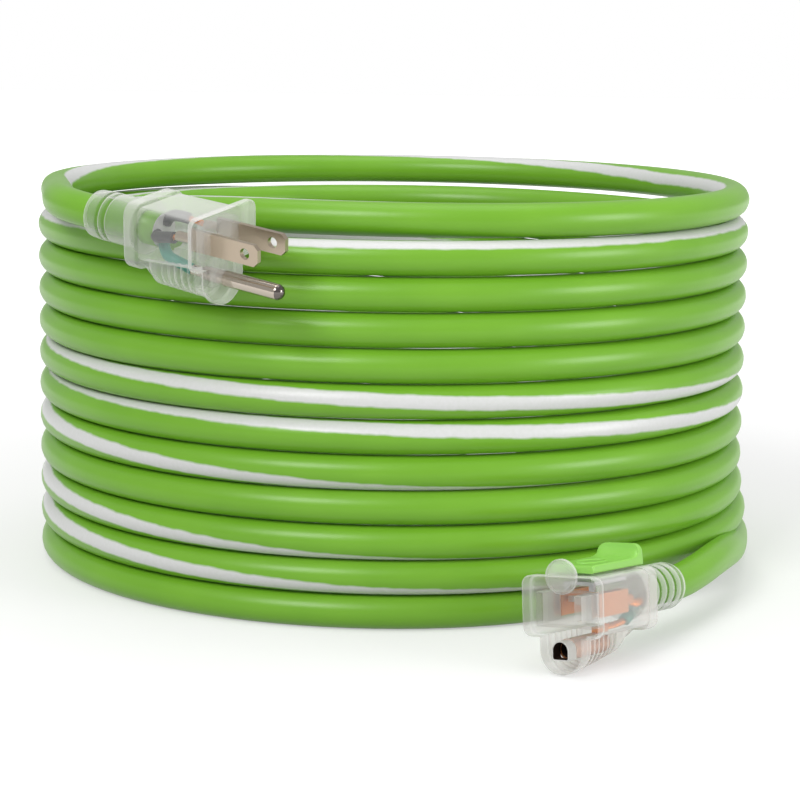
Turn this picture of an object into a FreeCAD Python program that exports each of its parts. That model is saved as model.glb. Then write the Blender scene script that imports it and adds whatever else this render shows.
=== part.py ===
import FreeCAD, Part
import math
import os
import Sketcher

Vector = FreeCAD.Vector

# Shore power cord: an outdoor three-conductor extension lead, wound as a tall drum of twelve turns,
# with a clear moulded plug at its upper end and a clear locking connector on the floor at its lower end.
# Millimetres, +Z up. The coil stands on z = 0, and the plug and the connector lie on its -Y side.

SIZES = {
    # cord and coil
    "cord_diameter": 10.0,
    "turn_gap": 0.55,
    "layer_gap": 0.9,
    "coil_radius": 112.6,
    "lead_swing": 4.6,
    "foot_cut": 1.0,
    # where the plug's face lies: bearing round the coil, distance beyond it, drop under the top turn
    "plug_bearing": -109.64,
    "plug_standoff": 20.12,
    "plug_drop": 3.35,
    "plug_yaw": -32.4,
    "plug_dip": 7.9,
    "plug_roll": 10.4,
    "plug_run_out": 15.6,
    "plug_run_in": 7.3,
    # plug, in its own frame: x towards the blades, z up, origin on the face between the blades
    "plug_half_width": 14.0,
    "plug_face_top": 8.7,
    "plug_face_foot": 7.5,
    "plug_face_thickness": 3.0,
    "plug_face_corner": 2.4,
    "plug_waist_top": 6.7,
    "plug_waist_taper": 0.8,
    "plug_waist_fall": 2.0,
    "plug_body_length": 24.2,
    "plug_rear_half": 11.2,
    "plug_rear_top": 7.6,
    "plug_rear_foot": 12.4,
    "plug_rear_thickness": 5.0,
    "plug_rear_corner": 4.0,
    "plug_lobe_radius": 8.0,
    "plug_belly_radius": 7.0,
    "plug_belly_taper": 0.5,
    "plug_belly_turn": 1.6,
    "plug_belly_lift": 0.0,
    "plug_belly_tuck": 3.0,
    "plug_belly_tail": 3.4,
    "plug_belly_rise": 2.6,
    "plug_relief_rise": -2.2,
    "plug_relief_wall": 2.4,
    "plug_relief_length": 19.3,
    "plug_ring_setback": 11.0,
    "plug_ring_pitch": 2.6,
    "plug_rib_setback": 3.5,
    "plug_jacket_reach": 1.0,
    "plug_channel_half": 3.4,
    "plug_channel_drop": 2.7,
    "bridge_length": 5.0,
    # blades and pins of the standard 15 A pattern
    "blade_spacing": 12.7,
    "blade_length": 16.8,
    "blade_width": 6.35,
    "blade_thickness": 1.52,
    "blade_bevel": 1.4,
    "blade_hole": 3.3,
    "blade_hole_from_tip": 4.6,
    "pin_diameter": 4.75,
    "pin_shank": 4.2,
    "pin_step": 0.1,
    "pin_length": 20.6,
    "pin_drop": 11.9,
    "shank_depth": 8.0,
    "sleeve_length": 5.0,
    "sleeve_lap": 0.5,
    # where the connector's face lies: bearing round the coil, distance beyond it, height of its centre
    "connector_bearing": -72.26,
    "connector_standoff": 54.44,
    "connector_height": 18.98,
    "connector_yaw": -126.0,
    "connector_dip": -4.4,
    "connector_roll": 6.5,
    "connector_run_out": 21.5,
    "connector_run_in": 10.2,
    # connector, in its own frame: x out of the face, z up, origin on the face between the slots
    "connector_half_width": 12.4,
    "connector_top": 8.8,
    "connector_face_foot": 8.4,
    "connector_face_thickness": 4.2,
    "connector_face_corner": 2.4,
    "connector_lobe_radius": 6.8,
    "connector_waist_half": 11.4,
    "connector_waist_drop": 0.4,
    "connector_waist_foot": 8.0,
    "connector_body_length": 29.0,
    "connector_rear_half": 11.2,
    "connector_rear_foot": 9.2,
    "connector_rear_thickness": 5.4,
    "connector_rear_corner": 3.0,
    "connector_belly_radius": 6.6,
    "connector_belly_taper": 1.0,
    "connector_belly_turn": 5.0,
    "connector_belly_lift": 1.9,
    "connector_belly_tuck": 2.0,
    "connector_belly_tail": 2.4,
    "connector_belly_rise": 5.8,
    "connector_relief_rise": 0.3,
    "connector_relief_wall": 2.0,
    "connector_relief_length": 23.6,
    "connector_ring_setback": 8.0,
    "connector_ring_pitch": 4.2,
    "connector_rib_setback": 2.0,
    "connector_jacket_back": 5.6,
    "tab_radius": 5.0,
    "tab_rise": 4.8,
    "tab_thickness": 1.8,
    "tab_setback": 1.0,
    "slot_width": 2.3,
    "line_slot_height": 7.0,
    "neutral_slot_height": 8.3,
    "front_wall": 2.4,
    "insert_length": 6.5,
    "contact_length": 15.0,
    "contact_height": 6.6,
    "contact_thickness": 0.6,
    "contact_back": 1.2,
    "contact_sleeve": 3.0,
    "blade_play": 0.03,
    "mouth_width": 5.2,
    "barrel_setback": 4.2,
    "barrel_length": 17.0,
    "barrel_play": 0.045,
    "tail_length": 6.0,
    "tail_back": 2.6,
    "tail_rise": 4.0,
    "tail_width": 1.8,
    # thumb lock and its latch
    "lock_length": 26.6,
    "lock_setback": 7.4,
    "lock_half_width": 7.0,
    "lock_plate_thickness": 2.3,
    "lock_wall_rise": 6.4,
    "lock_travel": 4.5,
    "stem_width": 5.0,
    "stem_length": 12.0,
    "stem_setback": 2.5,
    "latch_length": 17.0,
    "latch_half_width": 5.0,
    "latch_thickness": 1.0,
    "latch_membrane": 0.8,
    "finger_length": 1.0,
    "finger_depth": 1.6,
    # walls, clearances and cores
    "shell_wall": 2.2,
    "thin_wall": 1.2,
    "seat_gap": 0.05,
    "sliding_gap": 0.3,
    "conductor_diameter": 3.4,
    "core_gap": 0.8,
    "core_lift": 1.2,
    "strand_diameter": 1.9,
    "bared_length": 1.8,
    "connector_bared_length": 9.2,
    "lamp_diameter": 3.0,
    "lamp_length": 6.0,
    "lamp_height": 1.2,
    "lamp_setback": 7.0,
    "lead_wire": 0.5,
    "resistor_thickness": 1.6,
    "resistor_length": 2.2,
    # grips and rings
    "rib_pitch": 2.5,
    "rib_width": 1.1,
    "rib_depth": 0.7,
    "rib_height": 7.5,
    "ring_width": 1.2,
    "ring_depth": 0.8,
    "relief_taper": 0.3,
    "belly_top": 2.0,
    "spare": 1.0,
}
TURN_LEVELS = 12
RIB_COUNT = 6
CORD_SIDES = 4
LEAD_SIDES = 6
CORE_SIDES = 6
ROUND_SIDES = 12
LOBE_CHORDS = 8

doc = FreeCAD.newDocument("shore_power_cord")
sheet = doc.addObject("Spreadsheet::Sheet", "Sizes")
for row, (name, value) in enumerate(SIZES.items(), 1):
    sheet.set(f"A{row}", name)
    sheet.set(f"B{row}", str(value))
    sheet.setAlias(f"B{row}", name)
doc.recompute()


def size(name):
    return float(sheet.get(name))


def worked_out(expression):
    """The value of an expression over the sheet's names, as the document will work it out."""
    return float(sheet.evalExpression(expression))


def bind(item, **expressions):
    for prop, expression in expressions.items():
        item.setExpression(prop, expression)
    return item


def seat(item, x, y, z):
    for axis, expression in (("x", x), ("y", y), ("z", z)):
        item.setExpression(f"Placement.Base.{axis}", expression)
    return item


def block(name, x, y, z):
    """A box between two bounds on each axis, all bound to the sheet."""
    sides = {prop: f"({high}) - ({low})" for prop, (low, high) in zip(("Length", "Width", "Height"), (x, y, z))}
    return seat(bind(doc.addObject("Part::Box", name), **sides), x[0], y[0], z[0])


def both_ways(half, middle="0"):
    """The bounds of a width that lies evenly about a middle."""
    return f"{middle} - ({half})", f"{middle} + ({half})"


def bar(name, radius, x, y, z):
    """A round bar along X between two bounds."""
    rod = doc.addObject("Part::Cylinder", name)
    rod.Placement = FreeCAD.Placement(Vector(), FreeCAD.Rotation(Vector(0, 1, 0), 90))
    return seat(bind(rod, Radius=radius, Height=f"({x[1]}) - ({x[0]})"), x[0], y, z)


def faceted_bar(name, radius, x, y, z):
    """A bar along X between two bounds, whose flat sides have their corners on the radius given."""
    rod = doc.addObject("Part::Prism", name)
    rod.Polygon = ROUND_SIDES
    rod.Placement = FreeCAD.Placement(Vector(), FreeCAD.Rotation(Vector(0, 1, 0), 90))
    return seat(bind(rod, Circumradius=radius, Height=f"({x[1]}) - ({x[0]})"), x[0], y, z)


def around(radius):
    """The corner radius of a faceted form whose flats just clear a round of the radius given."""
    return f"({radius}) * {1 / math.cos(math.pi / ROUND_SIDES):.6f}"


def fused(name, *pieces):
    union = doc.addObject("Part::MultiFuse", name)
    union.Shapes = list(pieces)
    return union


def cut(name, base, *tools):
    result = doc.addObject("Part::Cut", name)
    result.Base = base
    result.Tool = tools[0] if len(tools) == 1 else fused(name + "_tools", *tools)
    return result


def plane_of(body, role):
    return next(f for f in body.Origin.OriginFeatures if f.Role == role)


def outline(body, name, role, points, offset="0"):
    """A closed sketch of straight sides whose corners are bound to expressions, offset along its normal."""
    sketch = body.newObject("Sketcher::SketchObject", name)
    sketch.AttachmentSupport = [(plane_of(body, role), "")]
    sketch.MapMode = "FlatFace"
    sketch.setExpression("AttachmentOffset.Base.z", offset)
    corners = [Vector(worked_out(a), worked_out(b), 0) for a, b in points]
    for here, there in zip(corners, corners[1:] + corners[:1]):
        sketch.addGeometry(Part.LineSegment(here, there), False)
    for i, (a, b) in enumerate(points):
        sketch.addConstraint(Sketcher.Constraint("Coincident", i, 1, (i - 1) % len(points), 2))
        for kind, expression, value in (("DistanceX", a, corners[i].x), ("DistanceY", b, corners[i].y)):
            index = sketch.addConstraint(Sketcher.Constraint(kind, -1, 1, i, 1, value))
            sketch.setExpression(f"Constraints[{index}]", expression)
    return sketch


def disc(body, name, role, radius, x, y):
    """A round sketch, bound in radius and place."""
    sketch = body.newObject("Sketcher::SketchObject", name)
    sketch.AttachmentSupport = [(plane_of(body, role), "")]
    sketch.MapMode = "FlatFace"
    centre = Vector(worked_out(x), worked_out(y), 0)
    sketch.addGeometry(Part.Circle(centre, Vector(0, 0, 1), worked_out(radius)), False)
    sketch.addConstraint(Sketcher.Constraint("Radius", 0, worked_out(radius)))
    sketch.addConstraint(Sketcher.Constraint("DistanceX", -1, 1, 0, 3, centre.x))
    sketch.addConstraint(Sketcher.Constraint("DistanceY", -1, 1, 0, 3, centre.y))
    for index, expression in enumerate((radius, x, y)):
        sketch.setExpression(f"Constraints[{index}]", expression)
    return sketch


def pad(body, name, sketch, length, both=False):
    """A pad backwards from its sketch, or evenly to both sides of it."""
    feature = body.newObject("PartDesign::Pad", name)
    feature.Profile = sketch
    feature.Reversed = not both
    feature.Midplane = both
    feature.setExpression("Length", length)
    return feature


def loft(body, name, first, second):
    feature = body.newObject("PartDesign::AdditiveLoft", name)
    feature.Profile = first
    feature.Sections = [second]
    feature.Ruled = True
    return feature


PARTS = {}


def finished(label, item, place):
    """Registers a sub-part under its label, standing where its assembly stands."""
    item.Label = label
    item.Placement = place.multiply(item.Placement)
    PARTS[label] = item
    return item


# The coil's levels, and where the plug and the connector lie from it.
radius = size("coil_radius")
inner = radius - size("cord_diameter") - size("layer_gap")
pitch = size("cord_diameter") + size("turn_gap")
TOP = TURN_LEVELS - 1


def level(number):
    """The height of a turn's centre line; the lowest turn is cut flat where it stands."""
    return size("cord_diameter") / 2 - size("foot_cut") + pitch * number


def round_coil(bearing, beyond, height):
    """A point at a bearing round the coil, as far outside its centre line as given."""
    turn = math.radians(bearing)
    return Vector((radius + beyond) * math.cos(turn), (radius + beyond) * math.sin(turn), height)


def frame(prefix, height):
    """Where the plug or the connector lies, from the sheet."""
    turn = FreeCAD.Rotation(size(prefix + "_yaw"), size(prefix + "_dip"), size(prefix + "_roll"))
    return FreeCAD.Placement(round_coil(size(prefix + "_bearing"), size(prefix + "_standoff"), height), turn)


plug_frame = frame("plug", level(TOP) - size("plug_drop"))
connector_frame = frame("connector", size("connector_height"))

# The two mouldings share their build-up: face flange with its ground lobe, waist, ribbed belly, rear
# flange and strain relief.


def arc_points(y, z, arc_radius, start, end, chords):
    """The corners of an arc drawn as flat chords, as bound expressions."""
    turns = [math.radians(start + (end - start) * number / chords) for number in range(chords + 1)]
    return [(f"{y} + ({arc_radius}) * {math.cos(turn):.6f}", f"{z} + ({arc_radius}) * {math.sin(turn):.6f}")
            for turn in turns]


def box_outline(half, top, foot, corner, chords, lobe=None):
    """A box with rounded or cut corners and, where one is given, a ground lobe under its foot."""
    left, right = f"-({half}) + ({corner})", f"({half}) - ({corner})"
    low, high = f"-({foot}) + ({corner})", f"({top}) - ({corner})"
    points = arc_points(left, low, corner, 180, 270, chords)
    if lobe:
        points.append((f"-({lobe})", f"-({foot})"))
        points += arc_points("0", "-Sizes.pin_drop", lobe, 180, 360, LOBE_CHORDS)
        points.append((lobe, f"-({foot})"))
    points += arc_points(right, low, corner, 270, 360, chords)
    points += arc_points(right, high, corner, 0, 90, chords)
    points += arc_points(left, high, corner, 90, 180, chords)
    return points


def keel(keel_radius, centre_z):
    """The belly's section: upright flanks over a rounded foot."""
    top = [(keel_radius, "-Sizes.belly_top"), (f"-({keel_radius})", "-Sizes.belly_top")]
    return top + arc_points("0", centre_z, keel_radius, 180, 360, LOBE_CHORDS)


def ring_outline(ring_radius, axis_z):
    return arc_points("0", axis_z, ring_radius, 0, 360, ROUND_SIDES)[:-1]


def belly_stations(prefix):
    """The belly's sections from the face back: distance, radius and centre height."""
    own = f"Sizes.{prefix}_"
    return (
        (f"{own}face_thickness", f"{own}belly_radius", "-Sizes.pin_drop"),
        (f"{own}body_length - {own}belly_turn", f"{own}belly_radius - {own}belly_taper",
         f"-Sizes.pin_drop + {own}belly_lift"),
        (f"{own}body_length + {own}belly_tail", f"{own}belly_radius - {own}belly_tuck",
         f"-Sizes.pin_drop + {own}belly_rise"),
    )


def relief_radius(prefix):
    return f"(Sizes.cord_diameter / 2 + Sizes.{prefix}_relief_wall)"


def rear_of(prefix):
    return f"-Sizes.{prefix}_body_length - Sizes.{prefix}_rear_thickness"


def end_of(prefix):
    return f"{rear_of(prefix)} - Sizes.{prefix}_relief_length"


def moulding(prefix, face, waist, waist_end, rear):
    """The outer form that the plug and the connector share, from their own sizes."""
    own = f"Sizes.{prefix}_"
    body = doc.addObject("PartDesign::Body", prefix + "_form")
    pad(body, prefix + "_flange", outline(body, prefix + "_flange_outline", "YZ_Plane", face), own + "face_thickness")
    inner_end = outline(body, prefix + "_waist_front", "YZ_Plane", waist, f"-{own}face_thickness")
    outer_end = outline(body, prefix + "_waist_rear", "YZ_Plane", waist_end, f"-{own}body_length")
    loft(body, prefix + "_waist", inner_end, outer_end)
    stations = belly_stations(prefix)
    for number, (here, there) in enumerate(zip(stations, stations[1:])):
        first = outline(body, f"{prefix}_belly_front_{number}", "YZ_Plane", keel(*here[1:]), f"-({here[0]})")
        second = outline(body, f"{prefix}_belly_back_{number}", "YZ_Plane", keel(*there[1:]), f"-({there[0]})")
        loft(body, f"{prefix}_belly_{number}", first, second)
    rear_sketch = outline(body, prefix + "_rear_outline", "YZ_Plane", rear, f"-{own}body_length")
    pad(body, prefix + "_rear_flange", rear_sketch, own + "rear_thickness")
    near = ring_outline(relief_radius(prefix), own + "relief_rise")
    far = ring_outline(f"{relief_radius(prefix)} - Sizes.relief_taper", own + "relief_rise")
    relief_near = outline(body, prefix + "_relief_front", "YZ_Plane", near, rear_of(prefix))
    relief_far = outline(body, prefix + "_relief_rear", "YZ_Plane", far, end_of(prefix))
    relief = loft(body, prefix + "_relief", relief_near, relief_far)
    doc.recompute()
    body.Tip = relief
    return body


def relief_rings(prefix, count):
    """Rings cut round the strain relief."""
    own = f"Sizes.{prefix}_"
    rings = []
    for number in range(count):
        front = f"{rear_of(prefix)} - {own}ring_setback - {number} * {own}ring_pitch"
        span = (f"{front} - Sizes.ring_width", front)
        outer = faceted_bar(f"{prefix}_ring_outer_{number}", f"{relief_radius(prefix)} + Sizes.spare", span, "0",
                            own + "relief_rise")
        core = faceted_bar(f"{prefix}_ring_core_{number}",
                           f"{relief_radius(prefix)} - Sizes.relief_taper - Sizes.ring_depth", span, "0",
                           own + "relief_rise")
        rings.append(cut(f"{prefix}_ring_{number}", outer, core))
    return rings


def finger_ribs(prefix):
    """Grip grooves across both flanks of the belly."""
    own = f"Sizes.{prefix}_"
    flank = f"{own}belly_radius - {own}belly_taper / 2 - Sizes.rib_depth"
    height = ("-Sizes.pin_drop - Sizes.rib_height / 2", "-Sizes.pin_drop + Sizes.rib_height / 2")
    grooves = []
    for number in range(RIB_COUNT):
        front = f"-{own}face_thickness - {own}rib_setback - {number} * Sizes.rib_pitch"
        span = (f"{front} - Sizes.rib_width", front)
        outside = f"{own}belly_radius + Sizes.spare"
        grooves.append(block(f"{prefix}_rib_near_{number}", span, (f"-({outside})", f"-({flank})"), height))
        grooves.append(block(f"{prefix}_rib_far_{number}", span, (flank, outside), height))
    return grooves


BLADE_Y = "Sizes.blade_spacing / 2"
PLUG_CHAMBER_HALF = (f"({BLADE_Y} + Sizes.strand_diameter / 2 + Sizes.contact_thickness"
                     " + Sizes.sliding_gap)")
PLUG_WAIST_HALF = f"{PLUG_CHAMBER_HALF} + Sizes.shell_wall"
plug_form = moulding(
    "plug",
    box_outline("Sizes.plug_half_width", "Sizes.plug_face_top", "Sizes.plug_face_foot", "Sizes.plug_face_corner", 2,
                "Sizes.plug_lobe_radius"),
    box_outline(f"{PLUG_WAIST_HALF} + Sizes.plug_waist_taper", "Sizes.plug_waist_top", "Sizes.plug_face_foot",
                "Sizes.plug_face_corner", 1),
    box_outline(PLUG_WAIST_HALF, "Sizes.plug_waist_top", "Sizes.plug_face_foot + Sizes.plug_waist_fall",
                "Sizes.plug_face_corner", 1),
    box_outline("Sizes.plug_rear_half", "Sizes.plug_rear_top", "Sizes.plug_rear_foot", "Sizes.plug_rear_corner", 1),
)

# The plug's chamber, the channel under it for the ground core, and the bore that the jacket runs through.
CHAMBER_FRONT = "-Sizes.shell_wall"
PLUG_CHAMBER = ("-Sizes.plug_body_length + 2 * Sizes.plug_jacket_reach", CHAMBER_FRONT)
PLUG_CHAMBER_TOP = "Sizes.plug_waist_top - Sizes.shell_wall"
CHAMBER_FLOOR = "-Sizes.plug_face_foot + Sizes.shell_wall"
CHANNEL_FOOT = "-Sizes.pin_drop - Sizes.plug_channel_drop"
plug_chamber = block("plug_chamber", PLUG_CHAMBER, both_ways(PLUG_CHAMBER_HALF), (CHAMBER_FLOOR, PLUG_CHAMBER_TOP))
plug_channel = block("plug_channel", PLUG_CHAMBER, both_ways("Sizes.plug_channel_half"),
                     (CHANNEL_FOOT, f"{CHAMBER_FLOOR} + Sizes.spare"))
plug_bore = faceted_bar("plug_bore", around("Sizes.cord_diameter / 2 + Sizes.seat_gap"),
                        (f"{end_of('plug')} - Sizes.spare", f"{PLUG_CHAMBER[0]} + Sizes.spare"), "0",
                        "Sizes.plug_relief_rise")


def blade_way(name, x, sign):
    """A passage for a blade, with its clearance all round."""
    return block(name, x, both_ways("Sizes.blade_thickness / 2 + Sizes.seat_gap", f"{sign} * {BLADE_Y}"),
                 both_ways("Sizes.blade_width / 2 + Sizes.seat_gap"))


def shank_ways(prefix, x):
    """The passages of the two blades and the pin's shank through one wall."""
    return [blade_way(prefix + "_near", x, -1), blade_way(prefix + "_far", x, 1),
            faceted_bar(prefix + "_pin", around("Sizes.pin_shank / 2 + Sizes.seat_gap"), x, "0", "-Sizes.pin_drop")]


face_ways = shank_ways("face_way", (f"{CHAMBER_FRONT} - Sizes.spare", "Sizes.spare"))
plug_overmould = cut("plug_moulding", plug_form, plug_chamber, plug_channel, plug_bore, *relief_rings("plug", 2),
                     *finger_ribs("plug"), *face_ways)
finished("plug_overmould", plug_overmould, plug_frame)

# The bridge: the inner block that holds the blades' shanks and the pin's.
BRIDGE_FRONT = f"{CHAMBER_FRONT} - Sizes.seat_gap"
BRIDGE_REAR = f"{BRIDGE_FRONT} - Sizes.bridge_length"
bridge_block = block("bridge_block", (BRIDGE_REAR, BRIDGE_FRONT), both_ways(f"{PLUG_CHAMBER_HALF} - Sizes.seat_gap"),
                     (f"{CHAMBER_FLOOR} + Sizes.seat_gap", f"{PLUG_CHAMBER_TOP} - Sizes.seat_gap"))
bridge_stalk = block("bridge_stalk", (BRIDGE_REAR, BRIDGE_FRONT),
                     both_ways("Sizes.plug_channel_half - Sizes.seat_gap"),
                     (f"{CHANNEL_FOOT} + Sizes.seat_gap", f"{CHAMBER_FLOOR} + Sizes.spare"))
bridge_ways = shank_ways("bridge_way", (f"{BRIDGE_REAR} - Sizes.spare", f"{BRIDGE_FRONT} + Sizes.spare"))
finished("plug_bridge", cut("bridge", fused("bridge_whole", bridge_block, bridge_stalk), *bridge_ways), plug_frame)

SLEEVE_REAR = "-Sizes.shank_depth - Sizes.sleeve_length + Sizes.sleeve_lap"
SLEEVE_RADIUS = "Sizes.strand_diameter / 2 + Sizes.contact_thickness"


def crimp_sleeve(name, y, z):
    """The barrel behind a shank that grips the bared strands, which end at its rear face."""
    return faceted_bar(name + "_sleeve", SLEEVE_RADIUS, (SLEEVE_REAR, f"{SLEEVE_REAR} + Sizes.sleeve_length"), y, z)


def blade(label, sign):
    """A flat blade with its hole, a bevelled tip, and a crimp barrel on its shank."""
    body = doc.addObject("PartDesign::Body", label + "_form")
    points = [
        ("-Sizes.shank_depth", "-Sizes.blade_width / 2"),
        ("Sizes.blade_length - Sizes.blade_bevel", "-Sizes.blade_width / 2"),
        ("Sizes.blade_length", "-Sizes.blade_width / 2 + Sizes.blade_bevel"),
        ("Sizes.blade_length", "Sizes.blade_width / 2 - Sizes.blade_bevel"),
        ("Sizes.blade_length - Sizes.blade_bevel", "Sizes.blade_width / 2"),
        ("-Sizes.shank_depth", "Sizes.blade_width / 2"),
    ]
    pad(body, label + "_strip", outline(body, label + "_outline", "XZ_Plane", points), "Sizes.blade_thickness", True)
    hole_sketch = disc(body, label + "_hole_outline", "XZ_Plane", "Sizes.blade_hole / 2",
                       "Sizes.blade_length - Sizes.blade_hole_from_tip", "0")
    doc.recompute()
    hole = body.newObject("PartDesign::Pocket", label + "_hole")
    hole.Profile = hole_sketch
    hole.Type = 1
    hole.Midplane = True
    doc.recompute()
    body.Tip = hole
    y = f"{sign} * {BLADE_Y}"
    body.setExpression("Placement.Base.y", y)
    return finished(label, fused(label + "_whole", body, crimp_sleeve(label, y, "0")), plug_frame)


blade("plug_neutral_blade", -1)
blade("plug_line_blade", 1)

# The ground pin: a thinner shank through the face, the pin itself, and a nose tapered over its last radius.
PIN_RADIUS = "Sizes.pin_diameter / 2"
pin_shank = faceted_bar("pin_shank", "Sizes.pin_shank / 2", ("-Sizes.shank_depth", "Sizes.pin_step"), "0",
                        "-Sizes.pin_drop")
pin_rod = bar("pin_rod", PIN_RADIUS, ("Sizes.pin_step", f"Sizes.pin_length - {PIN_RADIUS}"), "0", "-Sizes.pin_drop")


def nose(name, back, front, x):
    """One of the two steps of the pin's rounded tip."""
    cone = doc.addObject("Part::Cone", name)
    cone.Placement = FreeCAD.Placement(Vector(), FreeCAD.Rotation(Vector(0, 1, 0), 90))
    bind(cone, Radius1=back, Radius2=front, Height=f"({x[1]}) - ({x[0]})")
    return seat(cone, x[0], "0", "-Sizes.pin_drop")


NOSE_STEP = f"Sizes.pin_length - {PIN_RADIUS} * 0.4"
pin_nose = nose("pin_nose", PIN_RADIUS, f"{PIN_RADIUS} * 0.8", (f"Sizes.pin_length - {PIN_RADIUS}", NOSE_STEP))
pin_tip = nose("pin_tip", f"{PIN_RADIUS} * 0.8", f"{PIN_RADIUS} * 0.3", (NOSE_STEP, "Sizes.pin_length"))
finished("plug_ground_pin", fused("ground_pin_form", pin_shank, pin_rod, pin_nose, pin_tip,
                                  crimp_sleeve("ground", "0", "-Sizes.pin_drop")), plug_frame)


def tube_through(points, tube_radius, sides, bend=0.45):
    """A tube of flat sides along straight runs joined by tangent arcs, its path and the least arc radius."""
    here = points[0]
    edges = []
    least = float("inf")
    for before, corner, after in zip(points, points[1:], points[2:]):
        first, second = corner - before, after - corner
        turn = first.getAngle(second)
        if turn < 1e-4:
            continue
        trim = bend * min(first.Length, second.Length)
        least = min(least, trim / math.tan(turn / 2))
        start = corner - first.normalize() * trim
        end = corner + second.normalize() * trim
        middle_way = (start + end) * 0.5
        sagitta = (end - start).Length / 2 * math.tan(turn / 4)
        edges.append(Part.LineSegment(here, start).toShape())
        edges.append(Part.Arc(start, middle_way + (corner - middle_way).normalize() * sagitta, end).toShape())
        here = end
    edges.append(Part.LineSegment(here, points[-1]).toShape())
    spine = Part.Wire(edges)
    return swept(spine, tube_radius, sides), spine, least


def swept(spine, tube_radius, sides, mitred=0):
    """The solid of a flat-sided section along a path, one corner of the section downwards."""
    start = spine.Edges[0].firstVertex(True).Point
    along = spine.Edges[0].tangentAt(spine.Edges[0].FirstParameter)
    if (spine.Edges[0].lastVertex(True).Point - start).dot(along) < 0:
        along = along * -1
    across = along.cross(Vector(0, 0, 1)).normalize()
    up = across.cross(along)
    corners = []
    for number in range(sides + 1):
        angle = 2 * math.pi * number / sides - math.pi / 2
        corners.append(start + across * (tube_radius * math.cos(angle)) + up * (tube_radius * math.sin(angle)))
    return spine.makePipeShell([Part.makePolygon(corners)], True, False, mitred)


def conductor(label, points, place):
    """A core's insulation, mitred at its bends."""
    item = doc.addObject("Part::Feature", label + "_form")
    item.Shape = swept(Part.makePolygon([Vector(*p) for p in points]), size("conductor_diameter") / 2, CORE_SIDES, 1)
    return finished(label, item, place)


def strand_group(label, runs, place):
    """The bared copper of three conductors, as separate pieces under one name."""
    spines = [Part.makePolygon([Vector(*p) for p in run]) for run in runs]
    item = doc.addObject("Part::Feature", label + "_form")
    item.Shape = Part.makeCompound([swept(spine, size("strand_diameter") / 2, CORE_SIDES, 1) for spine in spines])
    return finished(label, item, place)


# The plug's cores leave the jacket side by side, part, and end where their strands are bared.
blade_y = size("blade_spacing") / 2
pin_z = -size("pin_drop")
apart = (size("conductor_diameter") + size("core_gap")) / 2
gap = size("seat_gap")
plug_axis_z = size("plug_relief_rise")
plug_jacket_end = -size("plug_body_length") + size("plug_jacket_reach")
sleeve_x = worked_out(SLEEVE_REAR)
bare_x = sleeve_x - size("bared_length")
side_z = plug_axis_z + size("core_lift")
low_z = plug_axis_z - 2 * size("core_lift")
for label, y in (("plug_neutral_conductor", -1), ("plug_line_conductor", 1)):
    conductor(label, ((plug_jacket_end + gap, y * apart, side_z), (plug_jacket_end + 1.5, y * apart, side_z),
                      (bare_x - 1.2, y * blade_y, 0), (bare_x, y * blade_y, 0)), plug_frame)
conductor("plug_ground_conductor", ((plug_jacket_end + gap, 0, low_z), (plug_jacket_end + 1.5, 0, low_z),
                                    (bare_x - 1.2, 0, pin_z), (bare_x, 0, pin_z)), plug_frame)
strand_group("plug_strands", [((bare_x, y, z), (sleeve_x, y, z))
                              for y, z in ((-blade_y, 0), (blade_y, 0), (0, pin_z))], plug_frame)

# The connector's moulding, with the round tab over its face and the pockets that its works sit in.
CONNECTOR_WAIST = box_outline("Sizes.connector_waist_half", "Sizes.connector_top - Sizes.connector_waist_drop",
                              "Sizes.connector_waist_foot", "Sizes.connector_face_corner", 1)
connector_form = moulding(
    "connector",
    box_outline("Sizes.connector_half_width", "Sizes.connector_top", "Sizes.connector_face_foot",
                "Sizes.connector_face_corner", 2, "Sizes.connector_lobe_radius"),
    CONNECTOR_WAIST, CONNECTOR_WAIST,
    box_outline("Sizes.connector_rear_half", "Sizes.connector_top", "Sizes.connector_rear_foot",
                "Sizes.connector_rear_corner", 1),
)
tab_disc = faceted_bar("tab_disc", "Sizes.tab_radius",
                       ("-Sizes.tab_setback - Sizes.tab_thickness", "-Sizes.tab_setback"), "0",
                       "Sizes.connector_top + Sizes.tab_rise - Sizes.tab_radius")

# From the top down: the latch's cavity, a thin membrane, and the contact chamber that the insert closes.
LATCH_TOP = "Sizes.connector_top - Sizes.shell_wall"
LATCH_FLOOR = f"{LATCH_TOP} - Sizes.latch_thickness - 2 * Sizes.sliding_gap"
CHAMBER_TOP = f"{LATCH_FLOOR} - Sizes.latch_membrane"
CHAMBER_FOOT = "-Sizes.connector_waist_foot + Sizes.shell_wall"
CHAMBER_HALF = "Sizes.connector_waist_half - Sizes.shell_wall"
FRONT_WALL = "-Sizes.front_wall"
connector_chamber = block("connector_chamber", ("-Sizes.connector_body_length", FRONT_WALL), both_ways(CHAMBER_HALF),
                          (CHAMBER_FOOT, CHAMBER_TOP))
GLAND_REAR = f"{rear_of('connector')} + Sizes.thin_wall"
gland_pocket = block("gland_pocket", (GLAND_REAR, "-Sizes.connector_body_length + 0.1"),
                     both_ways(f"{BLADE_Y} + Sizes.strand_diameter / 2 + Sizes.sliding_gap"),
                     ("-Sizes.connector_rear_foot + Sizes.shell_wall", CHAMBER_TOP))
connector_bore = faceted_bar("connector_bore", around("Sizes.cord_diameter / 2 + Sizes.seat_gap"),
                             (f"{end_of('connector')} - Sizes.spare", f"{GLAND_REAR} + 0.4"), "0",
                             "Sizes.connector_relief_rise")


def slot_way(name, x, sign, height):
    return block(name, x, both_ways("Sizes.slot_width / 2", f"{sign} * {BLADE_Y}"), both_ways(f"{height} / 2"))


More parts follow.
